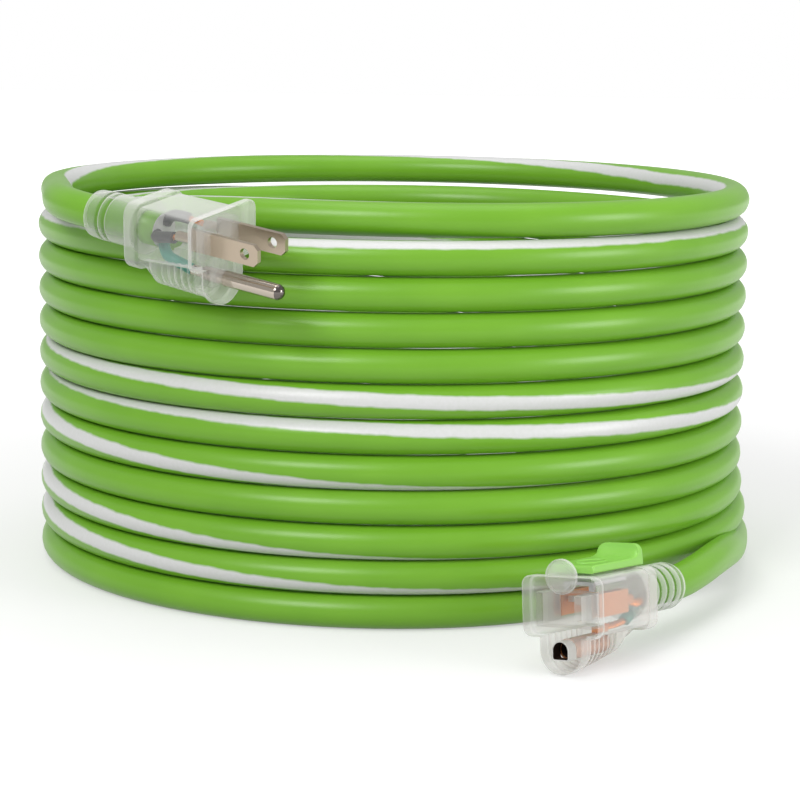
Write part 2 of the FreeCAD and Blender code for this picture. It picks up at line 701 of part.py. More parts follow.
# The ground hole: a round-topped mouth with a flat foot, and behind it the barrel's pocket.
MOUTH_RADIUS = "Sizes.mouth_width / 2"
MOUTH = (f"{FRONT_WALL} - 0.1", "Sizes.spare")
ground_mouth = fused("ground_mouth", faceted_bar("mouth_round", around(MOUTH_RADIUS), MOUTH, "0", "-Sizes.pin_drop"),
                     block("mouth_foot", MOUTH, both_ways(MOUTH_RADIUS),
                           (f"-Sizes.pin_drop - {MOUTH_RADIUS}", "-Sizes.pin_drop")))
SOCKET_RADIUS = f"{PIN_RADIUS} + Sizes.barrel_play"
SOCKET_OUTER = f"{SOCKET_RADIUS} + Sizes.contact_thickness"
BARREL_FRONT = "-Sizes.barrel_setback"
BARREL_REAR = f"{BARREL_FRONT} - Sizes.barrel_length"
ground_pocket = faceted_bar("ground_pocket", around(f"{SOCKET_OUTER} + Sizes.seat_gap"),
                            (f"{BARREL_REAR} - Sizes.sliding_gap", FRONT_WALL), "0", "-Sizes.pin_drop")
TAIL_Z = "-Sizes.pin_drop + Sizes.tail_rise"
TAIL_FOOT = f"{TAIL_Z} - Sizes.tail_width * 0.75"
TAIL = (f"{BARREL_REAR} - Sizes.tail_back", f"{BARREL_REAR} - Sizes.tail_back + Sizes.tail_length")
tail_pocket = block("tail_pocket", ("-Sizes.connector_body_length - Sizes.thin_wall", f"{TAIL[1]} + Sizes.sliding_gap"),
                    both_ways("Sizes.strand_diameter / 2 + Sizes.sliding_gap"),
                    (f"{TAIL_FOOT} - Sizes.sliding_gap", f"{CHAMBER_FOOT} + 0.1"))

# The latch starts a wall and its travel ahead of the moulding's rear, and its stem rises through a slot.
LATCH_REAR = f"{rear_of('connector')} + Sizes.shell_wall + Sizes.sliding_gap + Sizes.lock_travel"
LATCH_FRONT = f"{LATCH_REAR} + Sizes.latch_length"
STEM_REAR = f"{LATCH_REAR} + Sizes.stem_setback"
STEM_FRONT = f"{STEM_REAR} + Sizes.stem_length"


def travel_slot(name, rear, front, half_width, z):
    """Room for a moving piece over its whole travel, with the sliding gap all round."""
    x = (f"{rear} - Sizes.lock_travel - Sizes.sliding_gap", f"{front} + Sizes.sliding_gap")
    return block(name, x, both_ways(f"{half_width} + Sizes.sliding_gap"), z)


latch_cavity = travel_slot("latch_cavity", LATCH_REAR, LATCH_FRONT, "Sizes.latch_half_width", (LATCH_FLOOR, LATCH_TOP))
stem_slot = travel_slot("stem_slot", STEM_REAR, STEM_FRONT, "Sizes.stem_width / 2",
                        (f"{LATCH_TOP} - 0.1", "Sizes.connector_top + Sizes.spare"))
finger_slot = travel_slot("finger_slot", f"{LATCH_FRONT} - Sizes.finger_length", LATCH_FRONT,
                          "Sizes.latch_half_width", (f"{CHAMBER_TOP} - 0.1", f"{LATCH_FLOOR} + 0.1"))
SLOT = (f"{FRONT_WALL} - 0.1", "Sizes.spare")
connector_overmould = cut(
    "connector_moulding", fused("connector_whole", connector_form, tab_disc), connector_chamber, gland_pocket,
    connector_bore, *relief_rings("connector", 3), *finger_ribs("connector"),
    slot_way("slot_near", SLOT, 1, "Sizes.line_slot_height"), slot_way("slot_far", SLOT, -1, "Sizes.neutral_slot_height"),
    ground_mouth, ground_pocket, tail_pocket, latch_cavity, stem_slot, finger_slot)
finished("connector_overmould", connector_overmould, connector_frame)

# The face insert: the inner block behind the face, with the two blade ways through it.
INSERT_FRONT = f"{FRONT_WALL} - Sizes.seat_gap"
INSERT_REAR = f"{INSERT_FRONT} - Sizes.insert_length"
insert_block = block("insert_block", (INSERT_REAR, INSERT_FRONT), both_ways(f"{CHAMBER_HALF} - Sizes.seat_gap"),
                     (f"{CHAMBER_FOOT} + Sizes.seat_gap", f"{CHAMBER_TOP} - Sizes.seat_gap"))
WAY = (f"{INSERT_REAR} - Sizes.spare", f"{INSERT_FRONT} + Sizes.spare")
finished("connector_face_insert", cut("insert", insert_block, slot_way("way_near", WAY, 1, "Sizes.line_slot_height"),
                                      slot_way("way_far", WAY, -1, "Sizes.neutral_slot_height")), connector_frame)

# The blade contacts: two leaves a blade's thickness apart, joined at the back, with a crimp sleeve.
CONTACT_FRONT = f"{INSERT_REAR} - Sizes.seat_gap"
CONTACT_REAR = f"{CONTACT_FRONT} - Sizes.contact_length"
CONTACT_GAP_HALF = "Sizes.blade_thickness / 2 + Sizes.blade_play"
CONTACT_HALF = f"{CONTACT_GAP_HALF} + Sizes.contact_thickness"
CRIMP_REAR = f"{CONTACT_REAR} - Sizes.contact_sleeve + 0.2"


def blade_contact(label, sign):
    y = f"{sign} * {BLADE_Y}"
    outer = block(label + "_outer", (CONTACT_REAR, CONTACT_FRONT), both_ways(CONTACT_HALF, y),
                  both_ways("Sizes.contact_height / 2"))
    way = block(label + "_way", (f"{CONTACT_REAR} + Sizes.contact_back", f"{CONTACT_FRONT} + Sizes.spare"),
                both_ways(CONTACT_GAP_HALF, y), both_ways("Sizes.contact_height / 2 + Sizes.spare"))
    sleeve = faceted_bar(label + "_sleeve", SLEEVE_RADIUS, (CRIMP_REAR, f"{CONTACT_REAR} + 0.2"), y, "0")
    return finished(label, cut(label + "_form", fused(label + "_whole", outer, sleeve), way), connector_frame)


blade_contact("connector_line_contact", 1)
blade_contact("connector_neutral_contact", -1)

# The ground contact: a barrel behind the ground hole, with a tail above its rear end for the strands.
barrel = faceted_bar("barrel", around(SOCKET_OUTER), (BARREL_REAR, BARREL_FRONT), "0", "-Sizes.pin_drop")
barrel_bore = bar("barrel_bore", SOCKET_RADIUS, (f"{BARREL_REAR} + Sizes.contact_thickness",
                                                 f"{BARREL_FRONT} + Sizes.spare"), "0", "-Sizes.pin_drop")
ground_tail = block("ground_tail", TAIL, both_ways("Sizes.tail_width / 2"),
                    (TAIL_FOOT, f"{TAIL_FOOT} + Sizes.tail_width"))
finished("connector_ground_contact", fused("ground_contact_form", cut("ground_contact", barrel, barrel_bore),
                                           ground_tail), connector_frame)

# The connector's cores: insulated in the relief, bared where they part towards the contacts.
connector_axis_z = size("connector_relief_rise")
gland_rear = worked_out(GLAND_REAR)
connector_jacket_end = worked_out(rear_of("connector")) - size("connector_jacket_back")
bared_from = worked_out(CRIMP_REAR) - size("connector_bared_length")
crimp_rear = worked_out(CRIMP_REAR)
tail_rear = worked_out(TAIL[0])
tail_z = worked_out(TAIL_Z)
side_z = connector_axis_z + size("core_lift")
low_z = connector_axis_z - 2 * size("core_lift")
for label, y in (("connector_line_conductor", 1), ("connector_neutral_conductor", -1)):
    conductor(label, ((connector_jacket_end + gap, y * apart, side_z), (bared_from, y * apart, side_z)),
              connector_frame)
conductor("connector_ground_conductor", ((connector_jacket_end + gap, 0, low_z), (gland_rear - 0.3, 0, low_z)),
          connector_frame)
part_end = min(-size("connector_body_length") - 0.5, crimp_rear - 1.0)
drop_end = min(-size("connector_body_length") + 1.6, tail_rear - 1.0)
strand_group("connector_strands", [
    ((bared_from, y * apart, side_z), (bared_from + 1.0, y * apart, side_z), (part_end, y * blade_y, 0),
     (crimp_rear, y * blade_y, 0)) for y in (1, -1)
] + [
    ((gland_rear - 0.3, 0, low_z), (gland_rear + 0.7, 0, low_z), (drop_end, 0, tail_z), (tail_rear, 0, tail_z)),
], connector_frame)

# The lamp between the contacts that glows when the cord is live, and the resistor in its return lead.
LAMP_REAR = f"{CONTACT_FRONT} - Sizes.lamp_setback"
CONTACT_SIDE = f"({BLADE_Y} - ({CONTACT_HALF}) - Sizes.seat_gap)"
lamp_glass = faceted_bar("lamp_glass", "Sizes.lamp_diameter / 2", (LAMP_REAR, f"{LAMP_REAR} + Sizes.lamp_length"), "0",
                         "Sizes.lamp_height")


def wire_across(name, thickness, x, y):
    """A square wire along Y at the lamp's height."""
    return block(name, both_ways(f"{thickness} / 2", x), y, both_ways(f"{thickness} / 2", "Sizes.lamp_height"))


lamp_lead = wire_across("lamp_lead", "Sizes.lead_wire", f"{LAMP_REAR} + Sizes.lamp_length / 6", ("0", CONTACT_SIDE))
finished("connector_lamp", fused("lamp_form", lamp_glass, lamp_lead), connector_frame)
RETURN_X = f"{LAMP_REAR} + Sizes.lamp_length * 0.6"
RETURN_END = "-(Sizes.lamp_diameter / 2 + Sizes.seat_gap)"
resistor_lead = wire_across("resistor_lead", "Sizes.lead_wire", RETURN_X, (f"-{CONTACT_SIDE}", RETURN_END))
RESISTOR_MIDDLE = f"(({RETURN_END}) - {CONTACT_SIDE}) / 2"
resistor_body = wire_across("resistor_body", "Sizes.resistor_thickness", RETURN_X,
                            both_ways("Sizes.resistor_length / 2", RESISTOR_MIDDLE))
finished("connector_lamp_resistor", fused("resistor_form", resistor_lead, resistor_body), connector_frame)

# The thumb lock: a plate with a hollowed thumb wall, and a stem through the shell's slot to the latch.
lock_body = doc.addObject("PartDesign::Body", "lock_form")
LOCK_FOOT = "Sizes.connector_top + Sizes.sliding_gap"
PLATE_TOP = f"{LOCK_FOOT} + Sizes.lock_plate_thickness"
WALL_TOP = "Sizes.connector_top + Sizes.lock_wall_rise"
LOCK_FRONT = "-Sizes.lock_setback"
LOCK_REAR = "-Sizes.lock_setback - Sizes.lock_length"
lock_profile = outline(lock_body, "lock_profile", "XZ_Plane", [
    (LOCK_REAR, LOCK_FOOT),
    (LOCK_FRONT, LOCK_FOOT),
    (LOCK_FRONT, f"{PLATE_TOP} - 0.8"),
    (f"{LOCK_FRONT} - 0.9", PLATE_TOP),
    (f"{LOCK_REAR} + 6.2", PLATE_TOP),
    (f"{LOCK_REAR} + 4.0", f"{PLATE_TOP} + 0.7"),
    (f"{LOCK_REAR} + 2.9", f"{PLATE_TOP} + 1.9"),
    (f"{LOCK_REAR} + 2.3", WALL_TOP),
    (f"{LOCK_REAR} + 0.8", WALL_TOP),
])
lock_pad = pad(lock_body, "lock_plate_pad", lock_profile, "2 * Sizes.lock_half_width", True)
doc.recompute()
lock_body.Tip = lock_pad
stem = block("lock_stem", (STEM_REAR, STEM_FRONT), both_ways("Sizes.stem_width / 2"),
             (f"{LATCH_TOP} - Sizes.sliding_gap", f"{LOCK_FOOT} + Sizes.spare"))
finished("lock_slide", fused("lock_slide_form", lock_body, stem), connector_frame)

LATCH_BED = f"{LATCH_FLOOR} + Sizes.sliding_gap"
latch_strip = block("latch_strip", (LATCH_REAR, LATCH_FRONT), both_ways("Sizes.latch_half_width"),
                    (LATCH_BED, f"{LATCH_BED} + Sizes.latch_thickness"))
finger_x = (f"{LATCH_FRONT} - Sizes.finger_length", LATCH_FRONT)
finger_z = (f"{LATCH_BED} - Sizes.finger_depth", f"{LATCH_BED} + Sizes.latch_thickness")
latch_fingers = [
    block("latch_finger_near", finger_x, ("Sizes.latch_half_width - Sizes.finger_depth", "Sizes.latch_half_width"),
          finger_z),
    block("latch_finger_far", finger_x, ("-Sizes.latch_half_width", "-Sizes.latch_half_width + Sizes.finger_depth"),
          finger_z),
]
finished("lock_plate", fused("latch_form", latch_strip, *latch_fingers), connector_frame)

# The coil: one unbroken tube through stations of angle, radius and level, with level tangents at each.


def coil_stations():
    """A pass on the floor, one inside it behind the connector, like turns, and one inside behind the plug."""
    swing = radius + size("lead_swing")
    stations = [(-5, swing, size("cord_diameter") / 2), (45, swing - 1.0, level(0)), (135, radius, level(0)),
                (270, radius, level(0)), (360, inner, level(0)), (405, inner, level(0)), (495, inner, level(1)),
                (540, radius, level(1)), (720, radius, level(1)), (765, radius, level(1))]
    angle = 765
    for number in range(2, TOP - 1):
        stations += [(angle + 90, radius, level(number)), (angle + 180, radius, level(number)),
                     (angle + 360, radius, level(number))]
        angle += 360
    stations += [(angle + 90, radius, level(TOP - 1)), (angle + 180, radius, level(TOP - 1)),
                 (angle + 315, radius, level(TOP - 1)), (angle + 360, inner, level(TOP - 1)),
                 (angle + 450, inner, level(TOP)), (angle + 540, inner, level(TOP)),
                 (angle + 630, radius, level(TOP)), (angle + 765, radius, level(TOP)),
                 (angle + 860, radius, level(TOP))]
    return stations


def on_coil(angle, reach, height):
    turn = math.radians(angle)
    point = Vector(reach * math.cos(turn), reach * math.sin(turn), height)
    return point, Vector(-math.sin(turn), math.cos(turn), 0)


def biarc(start, start_way, end, end_way):
    """Two arcs that leave and reach the two points along their ways and meet smoothly."""
    span, ways = end - start, start_way + end_way
    spread = 2 * (1 - start_way.dot(end_way))
    reach = (math.sqrt(span.dot(ways) ** 2 + spread * span.dot(span)) - span.dot(ways)) / spread
    first, second = start + start_way * reach, end - end_way * reach
    joint = (first + second) * 0.5
    arcs = []
    for here, corner, there in ((start, first, joint), (joint, second, end)):
        middle_way = (here + there) * 0.5
        height = (corner - middle_way).Length
        half_chord = (there - here).Length / 2
        sagitta = half_chord * math.tan(math.atan2(height, half_chord) / 2)
        arcs.append(Part.Arc(here, middle_way + (corner - middle_way) * (sagitta / height), there).toShape())
    return arcs


def coil_spine():
    places = [on_coil(*station) for station in coil_stations()]
    straight = size("cord_diameter")
    first, first_way = places[0]
    last, last_way = places[-1]
    edges = [Part.LineSegment(first - first_way * straight, first).toShape()]
    for (here, here_way), (there, there_way) in zip(places, places[1:]):
        edges += biarc(here, here_way, there, there_way)
    edges.append(Part.LineSegment(last, last + last_way * straight).toShape())
    return Part.Wire(edges)


coil_path = coil_spine()
coil_tube = swept(coil_path, size("cord_diameter") / 2, CORD_SIDES)
under = size("cord_diameter")
ground = Part.makeBox(4 * radius, 4 * radius, under, Vector(-2 * radius, -2 * radius, -under))
coil = doc.addObject("Part::Feature", "coil_form")
coil.Shape = coil_tube.cut(ground).Solids[0]
finished("cord_coil", coil, FreeCAD.Placement())

# The leads: straight on from the coil's two ends, by hand-chosen points of bearing, distance beyond the
# coil and height, then in along the axis of each strain relief to where the jacket ends inside.
PLUG_LEAD = [(-155.18, 10.06, 2.61), (-148.10, 15.33, 3.97), (-141.00, 18.49, 3.69)]
CONNECTOR_LEAD = [(-29.98, 12.97, 8.24), (-39.83, 18.43, 11.36)]
coil_start = coil_path.Edges[0].firstVertex(True).Point
coil_end = coil_path.Edges[-1].lastVertex(True).Point
start_way = coil_start - coil_path.Edges[0].lastVertex(True).Point
end_way = coil_end - coil_path.Edges[-1].firstVertex(True).Point


def lead_points(prefix, end, way, points, base, place, jacket_end):
    """A lead's points from the coil's end to the jacket's end inside its moulding."""
    axis_z = size(prefix + "_relief_rise")
    run_out = end + Vector(way).normalize() * size(prefix + "_run_out")
    run_in = Vector(worked_out(end_of(prefix)) - size(prefix + "_run_in"), 0, axis_z)
    middle = [round_coil(bearing, beyond, base + height) for bearing, beyond, height in points]
    return [end, run_out] + middle + [place.multVec(run_in), place.multVec(Vector(jacket_end, 0, axis_z))]


def lead(label, points):
    """A free stretch of cord with its arcs, whose volume is compared with its section times its length."""
    shape, spine, least = tube_through(points, size("cord_diameter") / 2, LEAD_SIDES)
    section = LEAD_SIDES / 2 * math.sin(2 * math.pi / LEAD_SIDES) * (size("cord_diameter") / 2) ** 2
    share = shape.Volume / (section * spine.Length)
    print(f"{label}: length {spine.Length:.1f}, least arc radius {least:.1f}, volume share {share:.4f}")
    item = doc.addObject("Part::Feature", label + "_form")
    item.Shape = shape
    finished(label, item, FreeCAD.Placement())
    return spine.Length


lead_lengths = [
    lead("plug_lead", lead_points("plug", coil_end, end_way, PLUG_LEAD, level(TOP), plug_frame, plug_jacket_end)),
    lead("connector_lead", lead_points("connector", coil_start, start_way, CONNECTOR_LEAD, 0, connector_frame,
                                       connector_jacket_end)),
]


def least_self_gap(spine, width, step=6.0):
    """The least gap of a wound tube to itself, on points along it that are over half a turn apart."""
    points = spine.discretize(Distance=step)
    skip = int(math.pi * radius / step)
    least = float("inf")
    for i, here in enumerate(points):
        for there in points[i + skip:]:
            if abs(there.z - here.z) < 3 * pitch:
                least = min(least, (there - here).Length)
    return least - width


print(f"coil: length {coil_path.Length:.0f}, least self gap {least_self_gap(coil_path, size('cord_diameter')):.2f}")
print(f"cord in all: {coil_path.Length + sum(lead_lengths):.0f}")

doc.recompute()

# The part's origin is the middle of its own footprint, on the floor.
whole = FreeCAD.BoundBox()
for item in PARTS.values():
    for point in item.Shape.tessellate(0.2)[0]:
        whole.add(point)
print("box", whole)
to_origin = Vector(-whole.Center.x, -whole.Center.y, 0)
for item in PARTS.values():
    item.Placement = FreeCAD.Placement(to_origin, FreeCAD.Rotation()).multiply(item.Placement)
doc.recompute()

for item in doc.Objects:
    if "Invalid" in item.State or "Error" in item.State:
        raise RuntimeError(f"{item.Name} is {item.State}")
for label, item in PARTS.items():
    if item.Shape.isNull() or not item.Shape.isValid() or not item.Shape.Solids:
        raise RuntimeError(f"{label} has no valid shape")

os.makedirs("parts", exist_ok=True)
for label, item in PARTS.items():
    item.Shape.exportStep(f"parts/{label}.step")
    print(label, len(item.Shape.Solids), round(item.Shape.Volume))
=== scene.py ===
import bpy
import bmesh
import math
from mathutils import Matrix, Vector


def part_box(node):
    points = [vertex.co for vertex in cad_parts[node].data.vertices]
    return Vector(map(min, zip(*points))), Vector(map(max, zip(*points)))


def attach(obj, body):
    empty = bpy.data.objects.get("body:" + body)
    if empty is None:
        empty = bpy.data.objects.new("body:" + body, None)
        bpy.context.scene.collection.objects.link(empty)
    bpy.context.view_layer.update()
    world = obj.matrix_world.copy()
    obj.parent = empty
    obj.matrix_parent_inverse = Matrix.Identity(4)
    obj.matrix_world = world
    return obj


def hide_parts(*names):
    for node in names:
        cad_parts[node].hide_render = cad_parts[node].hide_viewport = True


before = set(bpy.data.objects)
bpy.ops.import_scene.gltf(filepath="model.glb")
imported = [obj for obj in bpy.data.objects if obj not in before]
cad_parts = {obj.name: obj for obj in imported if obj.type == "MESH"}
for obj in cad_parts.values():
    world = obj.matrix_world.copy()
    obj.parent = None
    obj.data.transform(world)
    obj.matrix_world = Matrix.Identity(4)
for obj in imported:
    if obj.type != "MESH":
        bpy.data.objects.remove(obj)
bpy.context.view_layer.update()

# Sizes in metres, but places in the cord's own frame and in the mouldings' frames in millimetres. The
# cord's own frame has the coil's axis at x = y = 0, and a moulding's has x towards its face, z up.
CORD_DIAMETER = 0.010
DRAWN_RADIUS = 0.00515  # a little fuller than the solid, because the turns of the photograph touch
TURN_PITCH = 0.01055
COIL_RADIUS = 0.1126
LAYER_STEP = 0.0109
LEVELS = 12
POINTS_PER_TURN = 24
LEFT_BULGE = 0.0008
coil_low, coil_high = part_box("cord_coil")
COIL_REACH = COIL_RADIUS + CORD_DIAMETER / 2
COIL_AXIS = Vector((coil_low.x + COIL_REACH, coil_low.y + COIL_REACH, 0))


def in_frame(x, y, z):
    """A point of the cord's own frame, in millimetres, as a point of the row frame."""
    return COIL_AXIS + Vector((x, y, z)) / 1000


# The photograph's camera, fitted to the coil's outline.
PHOTO_SIZE = 800
FOCAL_PIXELS = 2397.6
CAMERA_PLACE = (21.8, -804.9, 184.0)
CAMERA_PITCH = 0.1646
CAMERA_YAW = -0.0240
CAMERA_ROLL = 0.0127


def make_camera():
    forward = Vector((
        math.sin(CAMERA_YAW) * math.cos(CAMERA_PITCH),
        math.cos(CAMERA_YAW) * math.cos(CAMERA_PITCH),
        -math.sin(CAMERA_PITCH),
    ))
    level_right = Vector((math.cos(CAMERA_YAW), -math.sin(CAMERA_YAW), 0))
    level_up = level_right.cross(forward)
    right = math.cos(CAMERA_ROLL) * level_right + math.sin(CAMERA_ROLL) * level_up
    up = -math.sin(CAMERA_ROLL) * level_right + math.cos(CAMERA_ROLL) * level_up
    data = bpy.data.cameras.new("camera")
    data.sensor_width = 36
    data.lens = FOCAL_PIXELS / PHOTO_SIZE * data.sensor_width
    camera = bpy.data.objects.new("camera", data)
    turn = Matrix((right, up, -forward)).transposed().to_4x4()
    camera.matrix_world = Matrix.Translation(in_frame(*CAMERA_PLACE)) @ turn
    bpy.context.collection.objects.link(camera)
    bpy.context.scene.camera = camera


make_camera()


# Materials
def material(name, color, roughness, **sockets):
    """A Principled material; its uniform values are set on the shader itself."""
    made = bpy.data.materials.new(name)
    made.use_nodes = True
    shader = made.node_tree.nodes["Principled BSDF"]
    shader.inputs["Base Color"].default_value = (*color, 1)
    shader.inputs["Roughness"].default_value = roughness
    for socket, value in sockets.items():
        shader.inputs[socket.replace("_", " ")].default_value = value
    return made


def node(made, kind, inputs=(), **settings):
    """A new node with its settings, its inputs given by place or name as values or as other sockets."""
    item = made.node_tree.nodes.new(kind)
    for name, value in settings.items():
        setattr(item, name, value)
    for place, value in dict(inputs).items():
        if isinstance(value, bpy.types.NodeSocket):
            made.node_tree.links.new(value, item.inputs[place])
        else:
            item.inputs[place].default_value = value
    return item


def feed(made, socket, source):
    shader = made.node_tree.nodes["Principled BSDF"]
    made.node_tree.links.new(source, shader.inputs[socket])


def bumped(made, scale, distance, coordinates="Object"):
    """A fine grain on the surface."""
    place = node(made, "ShaderNodeTexCoord").outputs[coordinates]
    grain = node(made, "ShaderNodeTexNoise", {"Vector": place, "Scale": scale, "Detail": 3.0})
    bump = node(made, "ShaderNodeBump", {"Height": grain.outputs["Fac"], "Distance": distance, "Strength": 1.0})
    feed(made, "Normal", bump.outputs["Normal"])
    return grain


STRIPE_HALF = 0.066
JACKET_GREEN = (0.185, 0.430, 0.028)
JACKET_DEEP = (0.145, 0.365, 0.018)
STRIPE_COLOR = (0.66, 0.66, 0.66)


def jacket_material():
    """Green jacket whose pale stripe runs where the map's first coordinate is a whole number."""
    made = material("jacket", JACKET_GREEN, 0.34, Specular_IOR_Level=0.4)
    spot = node(made, "ShaderNodeSeparateXYZ", {0: node(made, "ShaderNodeUVMap", uv_map="around_along").outputs["UV"]})
    shifted = node(made, "ShaderNodeMath", {0: spot.outputs["X"], 1: 0.5}, operation="ADD")
    whole = node(made, "ShaderNodeMath", {0: shifted.outputs[0]}, operation="FLOOR")
    away = node(made, "ShaderNodeMath", {0: spot.outputs["X"], 1: whole.outputs[0]}, operation="SUBTRACT")
    apart = node(made, "ShaderNodeMath", {0: away.outputs[0]}, operation="ABSOLUTE")
    place = node(made, "ShaderNodeTexCoord").outputs["Object"]
    wander = node(made, "ShaderNodeTexNoise", {"Vector": place, "Scale": 160.0, "Detail": 2.0})
    rough_edge = node(made, "ShaderNodeMapRange", {"Value": wander.outputs["Fac"], "From Min": 0.3, "From Max": 0.7,
                                                   "To Min": -0.006, "To Max": 0.006})
    edge = node(made, "ShaderNodeMath", {0: apart.outputs[0], 1: rough_edge.outputs[0]}, operation="ADD")
    stripe = node(made, "ShaderNodeMapRange", {"Value": edge.outputs[0], "From Min": STRIPE_HALF - 0.012,
                                               "From Max": STRIPE_HALF + 0.012, "To Min": 1.0, "To Max": 0.0})
    clouds = node(made, "ShaderNodeTexNoise", {"Vector": place, "Scale": 45.0, "Detail": 2.0})
    green = node(made, "ShaderNodeMix", {"Factor": clouds.outputs["Fac"], "A": (*JACKET_DEEP, 1),
                                         "B": (*JACKET_GREEN, 1)}, data_type="RGBA")
    grain = node(made, "ShaderNodeTexNoise", {"Vector": place, "Scale": 900.0, "Detail": 2.0})
    print_shade = node(made, "ShaderNodeMapRange", {"Value": grain.outputs["Fac"], "From Min": 0.3, "From Max": 0.7,
                                                    "To Min": 0.86, "To Max": 1.0})
    pale = node(made, "ShaderNodeMix", {"Factor": print_shade.outputs[0], "A": (0.45, 0.50, 0.40, 1),
                                        "B": (*STRIPE_COLOR, 1)}, data_type="RGBA")
    color = node(made, "ShaderNodeMix", {"Factor": stripe.outputs[0], "A": green.outputs["Result"],
                                         "B": pale.outputs["Result"]}, data_type="RGBA")
    feed(made, "Base Color", color.outputs["Result"])
    bump = node(made, "ShaderNodeBump", {"Height": grain.outputs["Fac"], "Distance": 0.00004, "Strength": 0.6})
    feed(made, "Normal", bump.outputs["Normal"])
    return made


def hazy_material(name, color, roughness, clearest, haziest, backing):
    """A milky clear plastic, clearest where it is looked at squarely, its far walls whiter than its near ones."""
    made = material(name, color, roughness, Specular_IOR_Level=0.5)
    facing = node(made, "ShaderNodeLayerWeight", {"Blend": 0.42})
    haze = node(made, "ShaderNodeMapRange", {"Value": facing.outputs["Facing"], "From Min": 0.13, "To Min": clearest,
                                         "To Max": haziest})
    far = node(made, "ShaderNodeMath", {0: node(made, "ShaderNodeNewGeometry").outputs["Backfacing"], 1: backing},
               operation="MULTIPLY")
    whole = node(made, "ShaderNodeMath", {0: haze.outputs[0], 1: far.outputs[0]}, operation="MAXIMUM")
    feed(made, "Alpha", whole.outputs[0])
    bumped(made, 700.0, 0.00002)
    return made


jacket = jacket_material()
milky = hazy_material("milky_clear", (0.91, 0.91, 0.88), 0.12, 0.05, 0.84, 0.50)
clear = hazy_material("inner_clear", (0.72, 0.72, 0.70), 0.25, 0.05, 0.40, 0.12)
nickel = material("blade_nickel", (0.47, 0.39, 0.30), 0.30, Metallic=1.0)
bright = material("pin_nickel", (0.50, 0.44, 0.37), 0.16, Metallic=1.0)
# Painted reflection: a dark copy of the pin's metal that stands in for the dark reflection on its domed tip.
tip_painted_reflection = material("pin_tip", (0.16, 0.14, 0.13), 0.12, Metallic=1.0)
copper = material("copper", (0.78, 0.32, 0.13), 0.33, Metallic=0.9)
strand_copper = material("strand_copper", (0.85, 0.27, 0.04), 0.30, Metallic=0.7)
# Painted shade: a near black that stands in for the shade inside the ground contact's bore and on the hole's inner
# wall.
bore_painted_shade = material("bore_painted_shade", (0.022, 0.012, 0.008), 0.7, Specular_IOR_Level=0.2)
mouth_wall = material("mouth_wall", (0.72, 0.72, 0.69), 0.3)
black = material("black_core", (0.006, 0.008, 0.013), 0.34)
white = material("white_core", (0.72, 0.72, 0.68), 0.4)
green = material("green_core", (0.04, 0.30, 0.22), 0.35)
slide_green = material("lock_green", (0.27, 0.60, 0.10), 0.28, Specular_IOR_Level=0.5)
lamp_clear = material("lamp", (0.95, 0.80, 0.66), 0.15, Alpha=0.7)
lead_tin = material("lead_tin", (0.75, 0.74, 0.72), 0.3, Metallic=0.9)
steel = material("steel", (0.55, 0.55, 0.56), 0.32, Metallic=1.0)
bumped(nickel, 420.0, 0.00003)
bumped(copper, 380.0, 0.00004)


# The cord: one line from the connector's moulding, through the coil, to the plug's.
def coil_stations():
    """Angle in degrees, radius and height in metres, where the coil settles between its moves."""
    inner = COIL_RADIUS - LAYER_STEP
    top = LEVELS - 1

    def height(level, lift=0.0):
        return DRAWN_RADIUS + TURN_PITCH * level + lift

    stations = [(15, COIL_RADIUS + 0.0046, height(0, 0.0010)), (45, COIL_RADIUS + 0.0036, height(0)),
                (135, COIL_RADIUS, height(0)), (270, COIL_RADIUS, height(0)), (360, inner, height(0)),
                (405, inner, height(0)), (495, inner, height(1)), (540, COIL_RADIUS, height(1)),
                (660, COIL_RADIUS, height(1)), (690, COIL_RADIUS + 0.0009, height(1, 0.0007)),
                (720, COIL_RADIUS + 0.0024, height(1, 0.0023)), (765, COIL_RADIUS + 0.0010, height(1, 0.0014)),
                (855, COIL_RADIUS, height(2)), (1020, COIL_RADIUS, height(2)),
                (1080, COIL_RADIUS + 0.0007, height(2, 0.0007)), (1125, COIL_RADIUS, height(2, 0.0002))]
    angle = 1125
    for level in range(3, top):
        stations.append((angle + 90, COIL_RADIUS, height(level)))
        angle += 360
        if level < top - 1:
            stations.append((angle, COIL_RADIUS, height(level)))
    stations += [(angle - 45, COIL_RADIUS, height(top - 1)), (angle, inner, height(top - 1)),
                 (angle + 125, inner, height(top - 1)), (angle + 200, inner, height(top)),
                 (angle + 270, COIL_RADIUS, height(top)), (angle + 500, COIL_RADIUS, height(top))]
    return stations


def ease(share):
    return share * share * (3 - 2 * share)


def coil_points(stations):
    """The coil's control points, evenly turned; they stand a little outside the line that they shape."""
    outside = 1 + (2 / (1 + math.cos(2 * math.pi / POINTS_PER_TURN)) - 1) / 2
    step = 360 / POINTS_PER_TURN
    points = []
    angle = stations[0][0]
    last = stations[-1][0]
    spot = 0
    while angle < last + 1:
        while spot < len(stations) - 2 and angle > stations[spot + 1][0]:
            spot += 1
        (a0, r0, z0), (a1, r1, z1) = stations[spot], stations[spot + 1]
        share = ease(min(max((angle - a0) / (a1 - a0), 0), 1))
        turn = math.radians(angle)
        reach = (r0 + (r1 - r0) * share + LEFT_BULGE * max(-math.cos(turn), 0)) * outside
        points.append(COIL_AXIS + Vector((reach * math.cos(turn), reach * math.sin(turn), z0 + (z1 - z0) * share)))
        angle += step
    return points


# The leads' points, given one by one; the CAD model's leads pass within a few millimetres of them.
CONNECTOR_LEAD = [(117.4, 8.0, 6.4), (115.2, -13.5, 7.7), (111.9, -37.8, 9.9), (108.1, -57.4, 12.9),
                  (102.6, -76.6, 14.9), (95.9, -93.3, 14.8)]
PLUG_LEAD = [(-110.6, -19.0, 121.1), (-107.7, -35.0, 121.7), (-105.1, -50.0, 122.5), (-102.5, -64.7, 123.1),
             (-100.0, -78.5, 123.1), (-95.1, -88.8, 122.6)]


